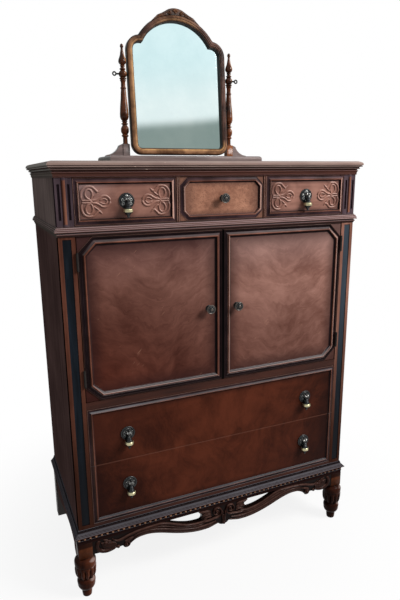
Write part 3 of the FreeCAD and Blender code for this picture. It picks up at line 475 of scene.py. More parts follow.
def stile_walnut():
    """Red-brown stiles with painted shade that darkens them below and painted light that makes them paler on the right;
    beside the frieze a dark ground and a rubbed reed.
    """
    surface = Surface("stile_walnut")
    x, y, z = surface.xyz()
    streaks, pores = grain(surface, UPRIGHT)
    rub = surface.noise(surface.place(), (30, 30, 9), 3.0)
    tone = (streaks * 0.6 + rub * 0.5).ease(0.3, 0.8)
    surface.colour = surface.mix(tone, (70, 40, 31), (118, 73, 58))
    # Painted light: a paler copy of the stile on the right
    painted_lit_copy = surface.mix(tone, (104, 68, 57), (164, 118, 102))
    surface.lay(x.ease(0.2, 0.42) * z.ease(0.25, 0.7), painted_lit_copy)
    # Painted shade: darker towards the bottom
    surface.lay(z.fall(0.2, 0.85) * 0.72, (43, 26, 20))
    ground = surface.mix(tone, (56, 44, 50), (98, 82, 88))
    surface.lay(z.ease(*FRIEZE_ENDS), ground)
    proud = STILE_FACE * MM - y
    reed = surface.mix(tone, (104, 64, 50), (156, 106, 86))
    # Painted shade on the side of the reed that faces left
    reed = surface.mix(surface.facing()[0].ease(-0.5, 0.2), (56, 32, 27), reed)
    length = z.ease(1.093, 1.098) * z.fall(1.201, 1.206)
    surface.lay(proud.ease(0.0004, 0.0014) * length, reed)
    # Painted shade on everything sunk behind the stile's face: near black below the frieze, dark lilac in the flutes
    # beside it
    flute = surface.mix(z.ease(*FRIEZE_ENDS), (12, 8, 9), (46, 36, 41))
    surface.lay(proud.fall(-0.0006, -0.0002), flute)
    gloss = 0.42 + (rub - 0.5) * 0.16
    return surface.dress(gloss, pored(surface, streaks, pores, 0.0002, 0.5), specular=0.0)


def ebonised():
    """Blue-black strip let into each stile."""
    surface = Surface("ebonised_inlay")
    streaks, pores = grain(surface, UPRIGHT)
    surface.colour = surface.mix(streaks.ease(0.35, 0.75), (16, 20, 25), (33, 40, 49))
    x, _, z = surface.xyz()
    # Painted light: paler blue-grey on the upper part of the right-hand inlay
    surface.lay(x.ease(0.3, 0.45) * z.ease(0.4, 0.9) * 0.4, (84, 96, 108))
    surface.lay(z.fall(0.25, 0.6) * 0.75, (21, 21, 24))
    surface.lay(pores.ease(0.6, 0.75) * 0.5, (8, 9, 12))
    gloss = 0.42 + (streaks - 0.5) * 0.2
    return surface.dress(gloss, surface.bump(streaks - pores, 0.0001, 0.5), specular=0.05)


def carved_walnut():
    """Very dark walnut of the carved apron: red-brown on the ridges, with painted shade that makes the ground and the
    hollows black and a painted highlight where the carving faces up.
    """
    surface = Surface("carved_walnut")
    streaks, pores = grain(surface, ACROSS)
    proud = (APRON_GROUND - surface.xyz()[1]) / APRON_RELIEF
    rub = surface.cloud(60, 3.0)
    ridges = surface.ridges()
    carved = proud.ease(0.1, 0.3)
    # Painted shade: darker on the ground between the carving
    surface.colour = surface.mix(proud.ease(0.0, 1.1), (20, 10, 8), (44, 24, 18))
    surface.lay(carved * ridges.ease(0.51, 0.6) * (rub * 0.6 + 0.1), (92, 52, 41))
    # Painted highlight where the carving faces up
    surface.lay(carved * surface.facing()[2].ease(0.5, 0.95) * (rub * 0.9), (112, 82, 73))
    # Painted shade: near black in the hollows
    surface.lay(carved * shade_in_hollows(ridges, 0.5) * 0.9, (7, 4, 4))
    surface.lay(streaks.ease(0.5, 0.8) * 0.25, (16, 9, 8))
    gloss = 0.22 + (rub - 0.5) * 0.16
    return surface.dress(gloss, surface.bump(streaks - pores * 0.6, 0.0001, 0.3), specular=0.06)


def bead_walnut():
    """Beads under the base moulding, rubbed to bare orange wood at their fronts."""
    surface = Surface("bead_walnut")
    proud = off_case(surface) / BEAD_RELIEF
    rub = surface.cloud(50, 2.0)
    # Painted shade: near black at the foot of each bead
    surface.colour = surface.mix(proud.ease(0.46, 0.62), (14, 8, 8), (124, 76, 54))
    surface.lay((proud + (rub - 0.5) * 0.4).ease(0.66, 0.92), (204, 150, 114))
    surface.lay(surface.xyz()[0].ease(-0.15, 0.4) * 0.6, (52, 34, 30))
    return surface.dress(0.4 + (rub - 0.5) * 0.2, surface.bump(rub, 0.0001, 0.4), specular=0.3)


def turned_walnut(name, dark, light, scale, roughness, specular, cut=1.0):
    """Glossy turning or moulding, black in its grooves by painted shade, darker in patches where old polish has
    gathered, with a painted highlight where it faces the light.
    """
    surface = Surface(name)
    streaks, pores = grain(surface, scale)
    cloud = surface.cloud(24, 3.0, 0.6)
    tone = streaks * 0.5 + cloud * 0.6
    surface.colour = surface.mix(tone.ease(0.38, 0.72), dark, light)
    ridges = surface.ridges()
    # Painted shade: near black in the grooves
    surface.lay(shade_in_hollows(ridges) * 0.95 * cut, (12, 7, 6))
    surface.lay(ridges.ease(0.53, 0.62) * 0.4 * cut, (176, 108, 66))
    # Painted highlight where the surface faces the right, front and top
    right, back, up = surface.facing()
    toward_light = right * 0.7 - back * 0.62 + up * 0.36
    surface.lay(toward_light.ease(0.86, 0.99) * 0.5 * cut, (216, 158, 110))
    gloss = roughness + (cloud - 0.5) * 0.18
    return surface.dress(gloss, pored(surface, streaks, pores, 0.0001, 0.4, 0.5), specular=specular)


def mirror_moulding(name, dark, light):
    """Frame of the mirror: painted light turns it gold down its left side, along its foot and at the top middle, and
    painted shade leaves it a deeper brown elsewhere.
    """
    surface = Surface(name)
    x, _, z = surface.xyz()
    streaks, _ = grain(surface, MIRROR_GRAIN)
    cloud = surface.cloud(24, 3.0, 0.6)
    tone = (streaks * 0.25 + cloud * 0.85).ease(0.38, 0.72)
    # Painted light: the gold shows down the left side, along the foot and at the top middle
    painted_light = x.fall(-0.16, -0.05).most(z.fall(1.3, 1.33)) * z.fall(1.58, 1.66)
    painted_light = painted_light.most(abs(x).fall(0.02, 0.1) * z.ease(1.6, 1.66) * 0.5)
    # Painted shade: a deeper brown copy for the rest
    deep = surface.mix(tone, (46, 30, 26), (104, 74, 64))
    surface.colour = surface.mix(painted_light, deep, surface.mix(tone, dark, light))
    return surface.dress(0.36 + (cloud - 0.5) * 0.12, surface.bump(cloud, 0.0001, 0.2), specular=0.08)


def leg_walnut():
    """Legs: dark polished turning under a paler, rubbed block, with painted light where they face right and up and
    painted shade in the hollows, on the block's left faces and under the moulding.
    """
    surface = Surface("leg_walnut")
    x, _, z = surface.xyz()
    right, back, up = surface.facing()
    streaks, pores = grain(surface, UPRIGHT)
    cloud = surface.cloud(30, 3.0, 0.6)
    tone = (streaks * 0.5 + cloud * 0.6).ease(0.3, 0.85)
    surface.colour = surface.mix(tone, (24, 11, 8), (84, 42, 27))
    # Painted light: warmer orange where the leg faces right
    surface.lay(right.ease(-0.1, 0.8) * 0.45, (138, 78, 52))
    surface.lay(x.ease(0.2, 0.4) * 0.5, (28, 15, 12))
    # Painted highlight where the leg faces right, front and up
    rubbed = (right * 0.6 - back * 0.55 + up * 0.58).ease(0.88, 0.99)
    surface.lay(rubbed * (cloud * 0.8), (190, 172, 166))
    ridges = surface.ridges()
    # Painted shade: near black in the hollows
    surface.lay(shade_in_hollows(ridges, 0.5) * 0.92, (7, 4, 4))
    surface.lay(ridges.ease(0.52, 0.62) * 0.25, (150, 86, 56))
    block = surface.mix(tone, (66, 35, 22), (112, 63, 40))
    above = z.ease(*LEG_BLOCK)
    surface.lay(above, block)
    # Painted shade on the block's left faces
    surface.lay(above * (-right).ease(0.4, 0.8) * 0.7, (34, 17, 12))
    # Painted shadow at the top of the block, under the moulding
    surface.lay(z.ease(0.166, 0.172) * 0.85, (24, 13, 12))
    gloss = 0.18 + (cloud - 0.5) * 0.12 + above * 0.2
    return surface.dress(gloss, pored(surface, streaks, pores, 0.0001, 0.3, 0.5), specular=0.03)


def antique_metal(name, hollow, body, bright, roughness, metallic, specular=0.5):
    """Cast metal gone dark in its hollows, with rubbed ridges."""
    surface = Surface(name)
    patch = surface.cloud(110, 3.0, 0.6)
    pits = surface.cloud(700, 2.0)
    ridges = surface.ridges()
    uneven = (patch - 0.5) * 0.5
    surface.colour = surface.mix((ridges.ease(0.4, 0.52) * 0.8 + uneven).ease(0.1, 0.9), hollow, body)
    surface.lay((ridges.ease(0.5, 0.6) * 0.8 + uneven).ease(0.25, 0.9), bright)
    gloss = roughness + (patch - 0.5) * 0.2
    relief = surface.bump(patch + pits * 0.3, 0.0001, 0.3)
    return surface.dress(gloss, relief, metallic=metallic, specular=specular)


def silvered_glass():
    """Old bevelled looking-glass: a pale, slightly green silver with faint haze and a few specks."""
    surface = Surface("silvered_glass")
    haze = surface.cloud(7, 4.0, 0.6)
    specks = surface.cloud(260, 1.0).ease(0.78, 0.84)
    surface.colour = surface.mix(haze.ease(0.3, 0.75), (226, 240, 240), (240, 250, 249))
    surface.lay(specks * 0.4, (150, 150, 140))
    gloss = 0.025 + haze * 0.03 + specks * 0.2
    return surface.dress(gloss, metallic=1.0, specular=0.5, coat=0.3, coat_rough=0.02)


finishes = {
    "side": side_walnut(),
    "stile": stile_walnut(),
    "rail": plain_wood("rail_walnut", (42, 23, 19), (80, 45, 35), ACROSS, 0.42, 0.12),
    # The platform's pale grey is partly its own colour and partly painted reflection
    "platform": plain_wood("platform_walnut", (90, 76, 74), (150, 131, 127), ACROSS, 0.34, 0.25),
    # For the mouldings round the case, the fourth colour is a painted sheen where they face up, and a fifth, where
    # given, a painted reflection where they face left
    "top": worn_moulding("top_walnut", 0.016, (34, 23, 23), (108, 84, 78), (154, 130, 121),
                         (186, 168, 160), 0.8, (190, 188, 178)),
    "waist": worn_moulding("waist_walnut", 0.010, (30, 20, 20), (116, 87, 82), (156, 124, 115),
                           (188, 168, 168), 0.0, (112, 104, 96)),
    "cornice": worn_moulding("cornice_walnut", 0.0055, (30, 22, 25), (84, 54, 47), (104, 68, 56),
                             (138, 116, 118), 0.0, (136, 128, 119)),
    "base": worn_moulding("base_walnut", 0.0145, (18, 10, 10), (42, 26, 24), (78, 56, 53), (124, 124, 131)),
    # For the frame mouldings, the third colour is a painted sheen where they face up, the fourth and fifth are painted
    # highlights where they face right, and a last number sets the painted shade below the frieze
    "frame": frame_walnut("frame_moulding", (36, 25, 28), (78, 58, 62), (196, 186, 186),
                          (208, 164, 148), (92, 58, 50)),
    "frame_bead": frame_walnut("frame_bead_walnut", (86, 48, 37), (140, 86, 68), (200, 184, 180),
                               (248, 216, 202), (132, 84, 68), 0.1),
    "frame_lip": frame_walnut("frame_lip_walnut", (22, 14, 15), (46, 31, 33), (104, 84, 82),
                              (66, 46, 46), (44, 30, 32)),
    "door": door_veneer(),
    "long": long_veneer(),
    "frieze": frieze_veneer(),
    "speckled": speckled_veneer(),
    "inlay": ebonised(),
    "carved": carved_walnut(),
    "bead": bead_walnut(),
    "leg": leg_walnut(),
    "post": turned_walnut("post_walnut", (22, 9, 5), (108, 56, 27), POST_GRAIN, 0.16, 0.18),
    "crest": turned_walnut("crest_walnut", (52, 31, 21), (116, 74, 48), ACROSS, 0.36, 0.25),
    "crest_ground": turned_walnut("crest_ground_walnut", (40, 24, 17), (88, 56, 38), ACROSS, 0.36, 0.2, 0.0),
    "mirror": turned_walnut("mirror_walnut", (30, 19, 15), (62, 40, 29), MIRROR_GRAIN, 0.36, 0.2, 0.0),
    "mirror_slope": mirror_moulding("mirror_slope_walnut", (98, 68, 48), (170, 126, 92)),
    "mirror_band": mirror_moulding("mirror_band_walnut", (122, 86, 54), (196, 150, 102)),
    # The reveal round the glass is near black: painted shade
    "mirror_reveal": turned_walnut("mirror_reveal_walnut", (12, 9, 9), (28, 20, 17), MIRROR_GRAIN, 0.45, 0.1, 0.0),
    "glass": silvered_glass(),
    "bronze": antique_metal("antique_bronze", (7, 7, 8), (44, 44, 45), (166, 164, 160), 0.3, 0.6),
    "brass": antique_metal("rubbed_brass", (124, 112, 82), (196, 186, 148), (236, 230, 204), 0.32, 0.7),
    "silvered": antique_metal("rubbed_bronze", (80, 80, 79), (178, 178, 174), (242, 242, 239), 0.22, 0.5),
    "dulled": antique_metal("dulled_bronze", (30, 26, 24), (84, 76, 70), (176, 166, 156), 0.3, 0.5),
    "iron": antique_metal("dark_iron", (3, 4, 4), (6, 7, 7), (24, 26, 27), 0.4, 0.0, 0.05),
    "steel": antique_metal("hinge_steel", (6, 5, 5), (13, 11, 11), (52, 48, 46), 0.55, 0.1, 0.04),
    "inner": plain_wood("drawer_poplar", (150, 118, 82), (190, 158, 116), INWARD, 0.6, 0.3),
    "shelf": plain_wood("shelf_oak", (120, 86, 56), (164, 126, 86), ACROSS, 0.58, 0.3),
    "back": plain_wood("back_board", (92, 70, 50), (134, 104, 76), UPRIGHT, 0.66, 0.25),
    "rear": plain_wood("rear_leg_walnut", (22, 15, 13), (44, 30, 25), UPRIGHT, 0.5, 0.3),
}

DRESSED = {
    "side": ["side_panels", "side_aprons"],
    "stile": ["front_stiles"],
    "rail": ["front_rails", "frieze_partitions"],
    "platform": ["mirror_platform"],
    "door": ["left_door_panel", "right_door_panel"],
    "long": ["upper_long_drawer_front", "lower_long_drawer_front"],
    "frieze": ["left_frieze_drawer_front", "right_frieze_drawer_front"],
    "speckled": ["middle_frieze_drawer_front"],
    "inlay": ["stile_inlays"],
    "carved": ["front_apron"],
    "crest_ground": ["mirror_crest"],
    "iron": ["left_thumbscrew", "right_thumbscrew"],
    "steel": ["hinge_leaves_and_pins", "left_door_hinge_leaves", "right_door_hinge_leaves"],
    "inner": ["left_frieze_drawer_box", "middle_frieze_drawer_box", "right_frieze_drawer_box",
              "upper_long_drawer_box", "lower_long_drawer_box", "guides_and_cleats"],
    "shelf": ["cupboard_shelf", "dust_panels"],
    "back": ["back_panel", "mirror_back"],
    "rear": ["rear_legs"],
}
for finish, names in DRESSED.items():
    for name in names:
        boards[name].data.materials.clear()
        boards[name].data.materials.append(finishes[finish])


# Shapes
class Carving:
    """Points and faces of one piece, gathered in millimetres; place moves each point as it is added."""

    def __init__(self, place=None):
        self.points = []
        self.faces = []
        self.tints = []
        self.look = 0
        self.place = place or (lambda point: point)

    def skin(self, rows, capped=True, tint=None, across=None):
        """Covers closed rows of points; capped closes the ends, a list of tints goes row by row, across along a row."""
        tint = self.look if tint is None else tint
        tints = tint if isinstance(tint, list) else [tint] * (len(rows) - 1)
        start = len(self.points)
        width = len(rows[0])
        for row in rows:
            self.points.extend(self.place(point) for point in row)
        for gap in range(len(rows) - 1):
            here = start + gap * width
            for index in range(width):
                after = (index + 1) % width
                self.faces.append((here + index, here + after, here + width + after, here + width + index))
                self.tints.append(across[index] if across else tints[gap])
        if capped:
            last = start + (len(rows) - 1) * width
            self.faces.append(tuple(reversed(range(start, start + width))))
            self.faces.append(tuple(range(last, last + width)))
            self.tints += [tints[0], tints[-1]]


def make(name, carving, body, looks, stands_for=(), sharp=40.0):
    """Turns a carving into a piece that rides on a body."""
    mesh = bpy.data.meshes.new(name)
    mesh.from_pydata([Vector(point) * MM for point in carving.points], [], carving.faces)
    for look in looks:
        mesh.materials.append(finishes[look])
    mesh.polygons.foreach_set("material_index", carving.tints)
    shaped = bmesh.new()
    shaped.from_mesh(mesh)
    bmesh.ops.remove_doubles(shaped, verts=shaped.verts, dist=1e-6)
    bmesh.ops.recalc_face_normals(shaped, faces=shaped.faces)
    shaped.to_mesh(mesh)
    shaped.free()
    mesh.shade_smooth()
    mesh.set_sharp_from_angle(angle=math.radians(sharp))
    piece = bpy.data.objects.new(name, mesh)
    scene.collection.objects.link(piece)
    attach(piece, body)
    if stands_for:
        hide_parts(*stands_for)
    return piece


def span(node):
    """Lowest and highest corner of a CAD piece, in millimetres."""
    low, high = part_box(node)
    return low / MM, high / MM


def middle(node):
    """Centre of a CAD piece's box, in millimetres."""
    low, high = span(node)
    return (low + high) / 2


def bowed(start, *steps, count=6):
    """Points through steps of (a, b) or (a, b, swell); a swell is an arc to the right of its run."""
    points = [start]
    for step in steps:
        here = points[-1]
        run = (step[0] - here[0], step[1] - here[1])
        if len(step) == 2:
            points.append(step)
            continue
        length = math.hypot(*run)
        for index in range(1, count + 1):
            share = index / count
            swell = 4 * step[2] * share * (1 - share) / length
            points.append((here[0] + run[0] * share + run[1] * swell, here[1] + run[1] * share - run[0] * swell))
    return points


def smooth(points, count=8):
    """A smooth path through a few (x, z) points."""
    path = []
    last = len(points) - 1
    for index in range(last):
        before = Vector(points[max(index - 1, 0)])
        here = Vector(points[index])
        there = Vector(points[index + 1])
        after = Vector(points[min(index + 2, last)])
        for step in range(count):
            share = step / count
            first = (there - before) / 2
            second = (after - here) / 2
            bend = 3 * (there - here) - 2 * first - second
            twist = first + second - 2 * (there - here)
            path.append(tuple(here + first * share + bend * share ** 2 + twist * share ** 3))
    path.append(tuple(points[last]))
    return path


def between(points):
    """The middles of the runs from each point to the next."""
    return [((here[0] + there[0]) / 2, (here[1] + there[1]) / 2) for here, there in zip(points, points[1:])]


def spiral(centre, start_angle, turns, start_radius, end_radius, count):
    """Path that winds in from a start radius; a negative turn winds clockwise."""
    path = []
    for index in range(count + 1):
        share = index / count
        angle = math.radians(start_angle) + turns * math.tau * share
        radius = start_radius + (end_radius - start_radius) * share ** 0.8
        path.append((centre[0] + radius * math.cos(angle), centre[1] + radius * math.sin(angle)))
    return path


def headings(path):
    """Each point of a path with the direction of its run."""
    last = len(path) - 1
    for index, (x, z) in enumerate(path):
        before = path[max(index - 1, 0)]
        after = path[min(index + 1, last)]
        yield x, z, Vector((after[0] - before[0], after[1] - before[1])).normalized()


def shifted(path, distance):
    """A path moved sideways, to the left of its run."""
    return [(x - run.y * distance, z + run.x * distance) for x, z, run in headings(path)]


def paired(shape, carving, path, *sizes):
    """The same shape on both sides of the centre line."""
    for way in (path, [(-x, z) for x, z in path]):
        shape(carving, way, *sizes)


HALF_ROUND = [(math.cos(math.pi * step / 8), math.sin(math.pi * step / 8)) for step in range(9)]
# How deep the foot of a carved shape lies in its ground
SUNK = 0.6


def raised(carving, path, face, section):
    """Shape along a path on an upright face; section gives its half width and (across, up) points at each share."""
    rows = []
    last = len(path) - 1
    for index, (x, z, run) in enumerate(headings(path)):
        half, points = section(index / last)
        points += [(points[-1][0], -SUNK), (points[0][0], -SUNK)]
        rows.append([(x - run.y * half * across, face - up, z + run.x * half * across) for across, up in points])
    carving.skin(rows)


def ribbon(carving, path, face, width, rise, taper, narrow=1.0):
    """Raised round band, thinner at its ends; narrow is the share of its width left at the last end."""
    def section(share):
        ends = min(1.0, taper[0] + share * 5, taper[1] + (1 - share) * 5) * (1 + (narrow - 1) * share)
        return width / 2 * ends, [(across, rise * ends * up) for across, up in HALF_ROUND]

    raised(carving, path, face, section)


def dome(carving, path, face, wide, tall, rise, turn=0.0):
    """Low oval swelling on an upright face, at the first point of a path."""
    x, z = path[0]
    tilt = math.radians(turn)

    def axis(a, b, along):
        a *= wide / 2
        b *= tall / 2
        across = a * math.cos(tilt) - b * math.sin(tilt)
        return (x + across, face - rise * along, z + a * math.sin(tilt) + b * math.cos(tilt))

    lifts = (-0.15, 0.0, 0.3, 0.6, 0.85, 0.99)
    turning(carving, [(math.sqrt(1 - max(lift, 0.0) ** 2), lift) for lift in lifts], axis, count=16)


def leaf(carving, path, face, width, rise, lobes):
    """Carved leaf: a ridge down the middle, falling to lobed edges."""
    def section(share):
        lobe = 0.72 + 0.28 * abs(math.sin(lobes * math.pi * share + 0.4))
        half = width / 2 * (math.sin(math.pi * min(1.0, 0.12 + share * 0.88)) ** 0.75 * lobe + 0.03)
        crown = rise * (0.35 + 0.65 * math.sin(math.pi * min(1.0, 0.2 + share * 0.75)))
        points = []
        for across in (-1.0, -0.75, -0.5, -0.25, -0.08, 0.0, 0.08, 0.25, 0.5, 0.75, 1.0):
            groove = 0.22 * math.cos(across * math.pi * 3) if abs(across) > 0.1 else 0.1
            points.append((across, crown * ((1 - across ** 2) ** 0.5 * 0.85 + groove * (1 - abs(across)))))
        return half, points

    raised(carving, path, face, section)


def upright(x, y, z):
    """Places a turning so that its axis stands on a point."""
    return lambda a, b, along: (x + a, y + b, z + along)


def forward(x, y, z):
    """Places a turning so that its axis comes out to the front of a point."""
    return lambda a, b, along: (x + a, y - along, z + b)


def turning(carving, profile, axis, count, shape=None, tint=None, capped=True):
    """Turns a profile of (radius, along) points about an axis; shape may lobe it by angle."""
    rows = []
    for radius, along in profile:
        row = []
        for step in range(count):
            angle = math.tau * step / count
            wide, far = shape(radius, along, angle) if shape else (radius, along)
            row.append(axis(wide * math.cos(angle), wide * math.sin(angle), far))
        rows.append(row)
    carving.skin(rows, capped=capped, tint=tint)


def hoop(carving, axis, radius, thick, wide, sides):
    """Closed ring about an axis; its wire is thick across the ring and wide along the axis."""
    rolls = [math.tau * turn / sides for turn in range(sides + 1)]
    wire = [(radius + thick * math.cos(roll), wide * math.sin(roll)) for roll in rolls]
    turning(carving, wire, axis, count=24, capped=False)


def block(carving, x, y, half, cut, levels, tint=None):
    """Upright square block with cut corners, from (inset, z) levels."""
    rows = []
    for inset, z in levels:
        wide = half - inset
        flat = wide - cut
        ring = [(wide, -flat), (wide, flat), (flat, wide), (-flat, wide),
                (-wide, flat), (-wide, -flat), (-flat, -wide), (flat, -wide)]
        rows.append([(x + a, y + b, z) for a, b in ring])
    carving.skin(rows, tint=tint)


def case_moulding(node, name, look, steps, core=False):
    """Moulding round the front and sides of the case, from bowed steps of (out, rise) where no rise means the top."""
    low, high = span(node)
    section = bowed(*((out, high.z if rise is None else low.z + rise, *swell) for out, rise, *swell in steps))
    rows = []
    for across, y, forth in ((-1, CASE_BACK, 0), (-1, STILE_FACE, 1), (1, STILE_FACE, 1), (1, CASE_BACK, 0)):
        rows.append([(across * (CASE_HALF + out), y - forth * out, z) for out, z in section])
    carving = Carving()
    carving.skin(rows)
    if core:
        corners = [(-CASE_HALF, STILE_FACE), (CASE_HALF, STILE_FACE), (CASE_HALF, CASE_BACK), (-CASE_HALF, CASE_BACK)]
        carving.skin([[(x, y, z) for x, y in corners] for z in (low.z, high.z)])
    make(name, carving, "case", [look], [node], MOULDED)


# Mouldings of the doors and drawers
DRAWER_FRAME = bowed(
    (0, 0), (0, 1.5), (1.3, 1.7), (1.6, 0.9), (2.2, 0.9), (9.6, 4.6, 0.5), (9.9, 4.2), (10.3, 4.6),
    (12.2, 5.0, -0.5), (12.6, 4.4), (15.4, 0.9, 0.3), (16.0, 0.7), (16.0, 0),
)
DOOR_FRAME = bowed(
    (0, 0), (0, 2.0), (5.0, 2.0, -0.7), (5.4, 0.8), (8.2, 0.7), (13.2, 4.2, 0.4), (13.7, 3.7), (14.3, 4.3),
    (18.4, 5.1, -1.4), (19.0, 4.4), (23.2, 0.9, 0.4), (24.0, 0.7), (24.0, 0),
)
# The bead is what rises over the crest, and the lip is what lies outside this inset
CREST = 4.55
LIP = 5.3


def frame_run(node, body, corners, section=DRAWER_FRAME, closed=True):
    """Mitred moulding inside an outline of (x, z) corners, from a section of (inset, rise) points."""
    count = len(corners)
    runs = [Vector((b[0] - a[0], b[1] - a[1])).normalized() for a, b in zip(corners, corners[1:] + corners[:1])]
    rows = []
    for index, (x, z) in enumerate(corners):
        before = runs[index - 1] if closed or index else runs[index]
        after = runs[index] if closed or index < count - 1 else runs[index - 1]
        inward = Vector((-before.y - after.y, before.x + after.x)) / (1 + before.dot(after))
        rows.append([(x + inward.x * inset, FIELD - rise, z + inward.y * inset) for inset, rise in section])
    if closed:
        rows.append(rows[0])
    tints = [2 if inset < LIP else int(rise > CREST) for inset, rise in between(section + section[:1])]
    carving = Carving()
    carving.skin(rows, capped=not closed, across=tints)
    looks = ["frame", "frame_bead", "frame_lip" if section is DOOR_FRAME else "frame"]
    make(node + "_run", carving, body, looks, [node], MOULDED)


def box_corners(low, high, cuts):
    """Corners of an outline, counter-clockwise from the lower left, with a cut for each corner."""
    spots = [((low.x, low.z), (0, 1), (1, 0)), ((high.x, low.z), (-1, 0), (0, 1)),
             ((high.x, high.z), (0, -1), (-1, 0)), ((low.x, high.z), (1, 0), (0, -1))]
    corners = []
    for ((x, z), first, second), cut in zip(spots, cuts):
        if cut:
            corners += [(x + first[0] * cut, z + first[1] * cut), (x + second[0] * cut, z + second[1] * cut)]
        else:
            corners.append((x, z))
    return corners


def frame_runs():
    """Mouldings of the doors, the three frieze drawers and the two long drawers."""
    door_cut = 40.0
    drawer_cut = 22.0
    plans = {
        "left_door": (door_cut, 0, 0, door_cut),
        "right_door": (0, door_cut, door_cut, 0),
        "left_frieze_drawer": (0, 0, 0, 0),
        "middle_frieze_drawer": (drawer_cut,) * 4,
        "right_frieze_drawer": (0, 0, 0, 0),
    }
    for body, cuts in plans.items():
        node = body + "_moulding"
        frame_run(node, body, box_corners(*span(node), cuts), DOOR_FRAME if "door" in body else DRAWER_FRAME)
    # Each long drawer carries three sides of one frame; first is the corner where its run starts
    for body, first in (("upper_long_drawer", 1), ("lower_long_drawer", 3)):
        node = body + "_moulding"
        corners = box_corners(*span(node), (0, 0, 0, 0))
        frame_run(node, body, corners[first:] + corners[:first], closed=False)


# Mouldings round the case
def case_mouldings():
    """Base, waist and cornice, and the top board with its nosing."""
    case_moulding("base_moulding", "base_moulding_reeds", "base", (
        (0, 0), (6.0, 0), (6.4, 10.4, -0.5), (7.0, 11.0), (7.0, 11.6), (4.6, 12.0), (4.6, 21.4), (10.0, 21.8),
        (12.6, 22.2), (13.8, 24.2, 0.4), (11.9, 26.8, 0.6), (11.3, 26.4), (9.7, 29.4, 0.6), (9.1, 29.0),
        (7.6, 32.0, 0.6), (6.8, 31.6), (6.6, 32.4), (3.0, 40.0, -0.8), (2.2, 39.8), (2, 43), (0, 43),
    ))
    case_moulding("waist_moulding", "waist_moulding_reeds", "waist", (
        (0, 0), (1.6, 0), (1.6, 3.2), (3.0, 4.0), (3.0, 8.2, 1.2), (1.4, 8.8), (1.4, 10.6), (7.4, 11.2),
        (7.6, 14.6, 1.1), (6.0, 15.0), (6.8, 15.4), (6.2, 18.8, 1.1), (4.4, 19.0), (5.2, 19.4), (4.2, 23.2, 1.0),
        (2.8, 23.2), (2.0, None, -0.2), (0, None),
    ))
    case_moulding("cornice_moulding", "cornice_moulding_reeds", "cornice", (
        (0, 0), (2.2, 0), (2.2, 1.6), (1.2, 2.2), (2.8, 2.8), (3.4, 9.4, -0.6), (4.4, 9.8), (4.6, 12.6, 0.6),
        (2.4, 13.4), (2.4, 15.6), (4.8, 16.2), (4.8, None), (0, None),
    ))
    case_moulding("top_board", "top_board_moulded", "top", (
        (0, 0), (7.0, 0), (8.0, 0.4), (8.4, 2.8, 0.8), (7.0, 3.4), (6.8, 4.8), (12.2, 6.4, -0.4), (13.8, 6.8),
        (13.8, 9.2, 0.8), (12.4, 9.8), (12.6, 10.6), (15.4, 11.4), (15.4, 15.6, 0.9), (12.6, 19.2, 0.8),
        (7.6, 21.8, 0.6), (2.4, None, 0.2), (0, None),
    ), core=True)


def bead(carving, centre, outward):
    """Upright oval bead on a vertical face; outward is the way the face looks."""
    wide, tall, deep = 8.0, 11.2, 4.8
    x, y, z = centre

    def axis(a, b, along):
        out = deep * along
        side = a * wide / 2
        return (x + outward[0] * out - outward[1] * side, y + outward[1] * out + outward[0] * side, z + b * tall / 2)

    lifts = (-0.4, 0.0, 0.35, 0.7, 0.92, 1.0)
    turning(carving, [(math.sqrt(max(0.02, 1 - max(lift, 0.0) ** 2)), lift) for lift in lifts], axis, count=10)


def bead_course():
    """Row of upright beads along the front and both sides."""
    level = span("base_moulding")[0].z + 17.0
    ground = 4.6
    pitch = 16.4
    first = 6.0
    side = CASE_HALF + ground
    count = int(side / pitch)
    carving = Carving()
    for index in range(-count, count + 1):
        bead(carving, (index * pitch, STILE_FACE - ground, level), (0, -1))
    for index in range(int((CASE_BACK - STILE_FACE) / pitch)):
        for sign in (-1, 1):
            bead(carving, (sign * side, STILE_FACE + first + index * pitch, level), (sign, 0))
    make("base_beads", carving, "case", ["bead"])


# Carved apron
def apron_under(x):
    """Height of the apron's lower edge at an X, read from the board itself."""
    board = boards["front_apron"]
    depth = middle("front_apron").y * MM
    found, place, _, _ = board.ray_cast(Vector((x * MM, depth, 0.0)), Vector((0, 0, 1)))
    return place.z / MM if found else span("front_apron")[0].z


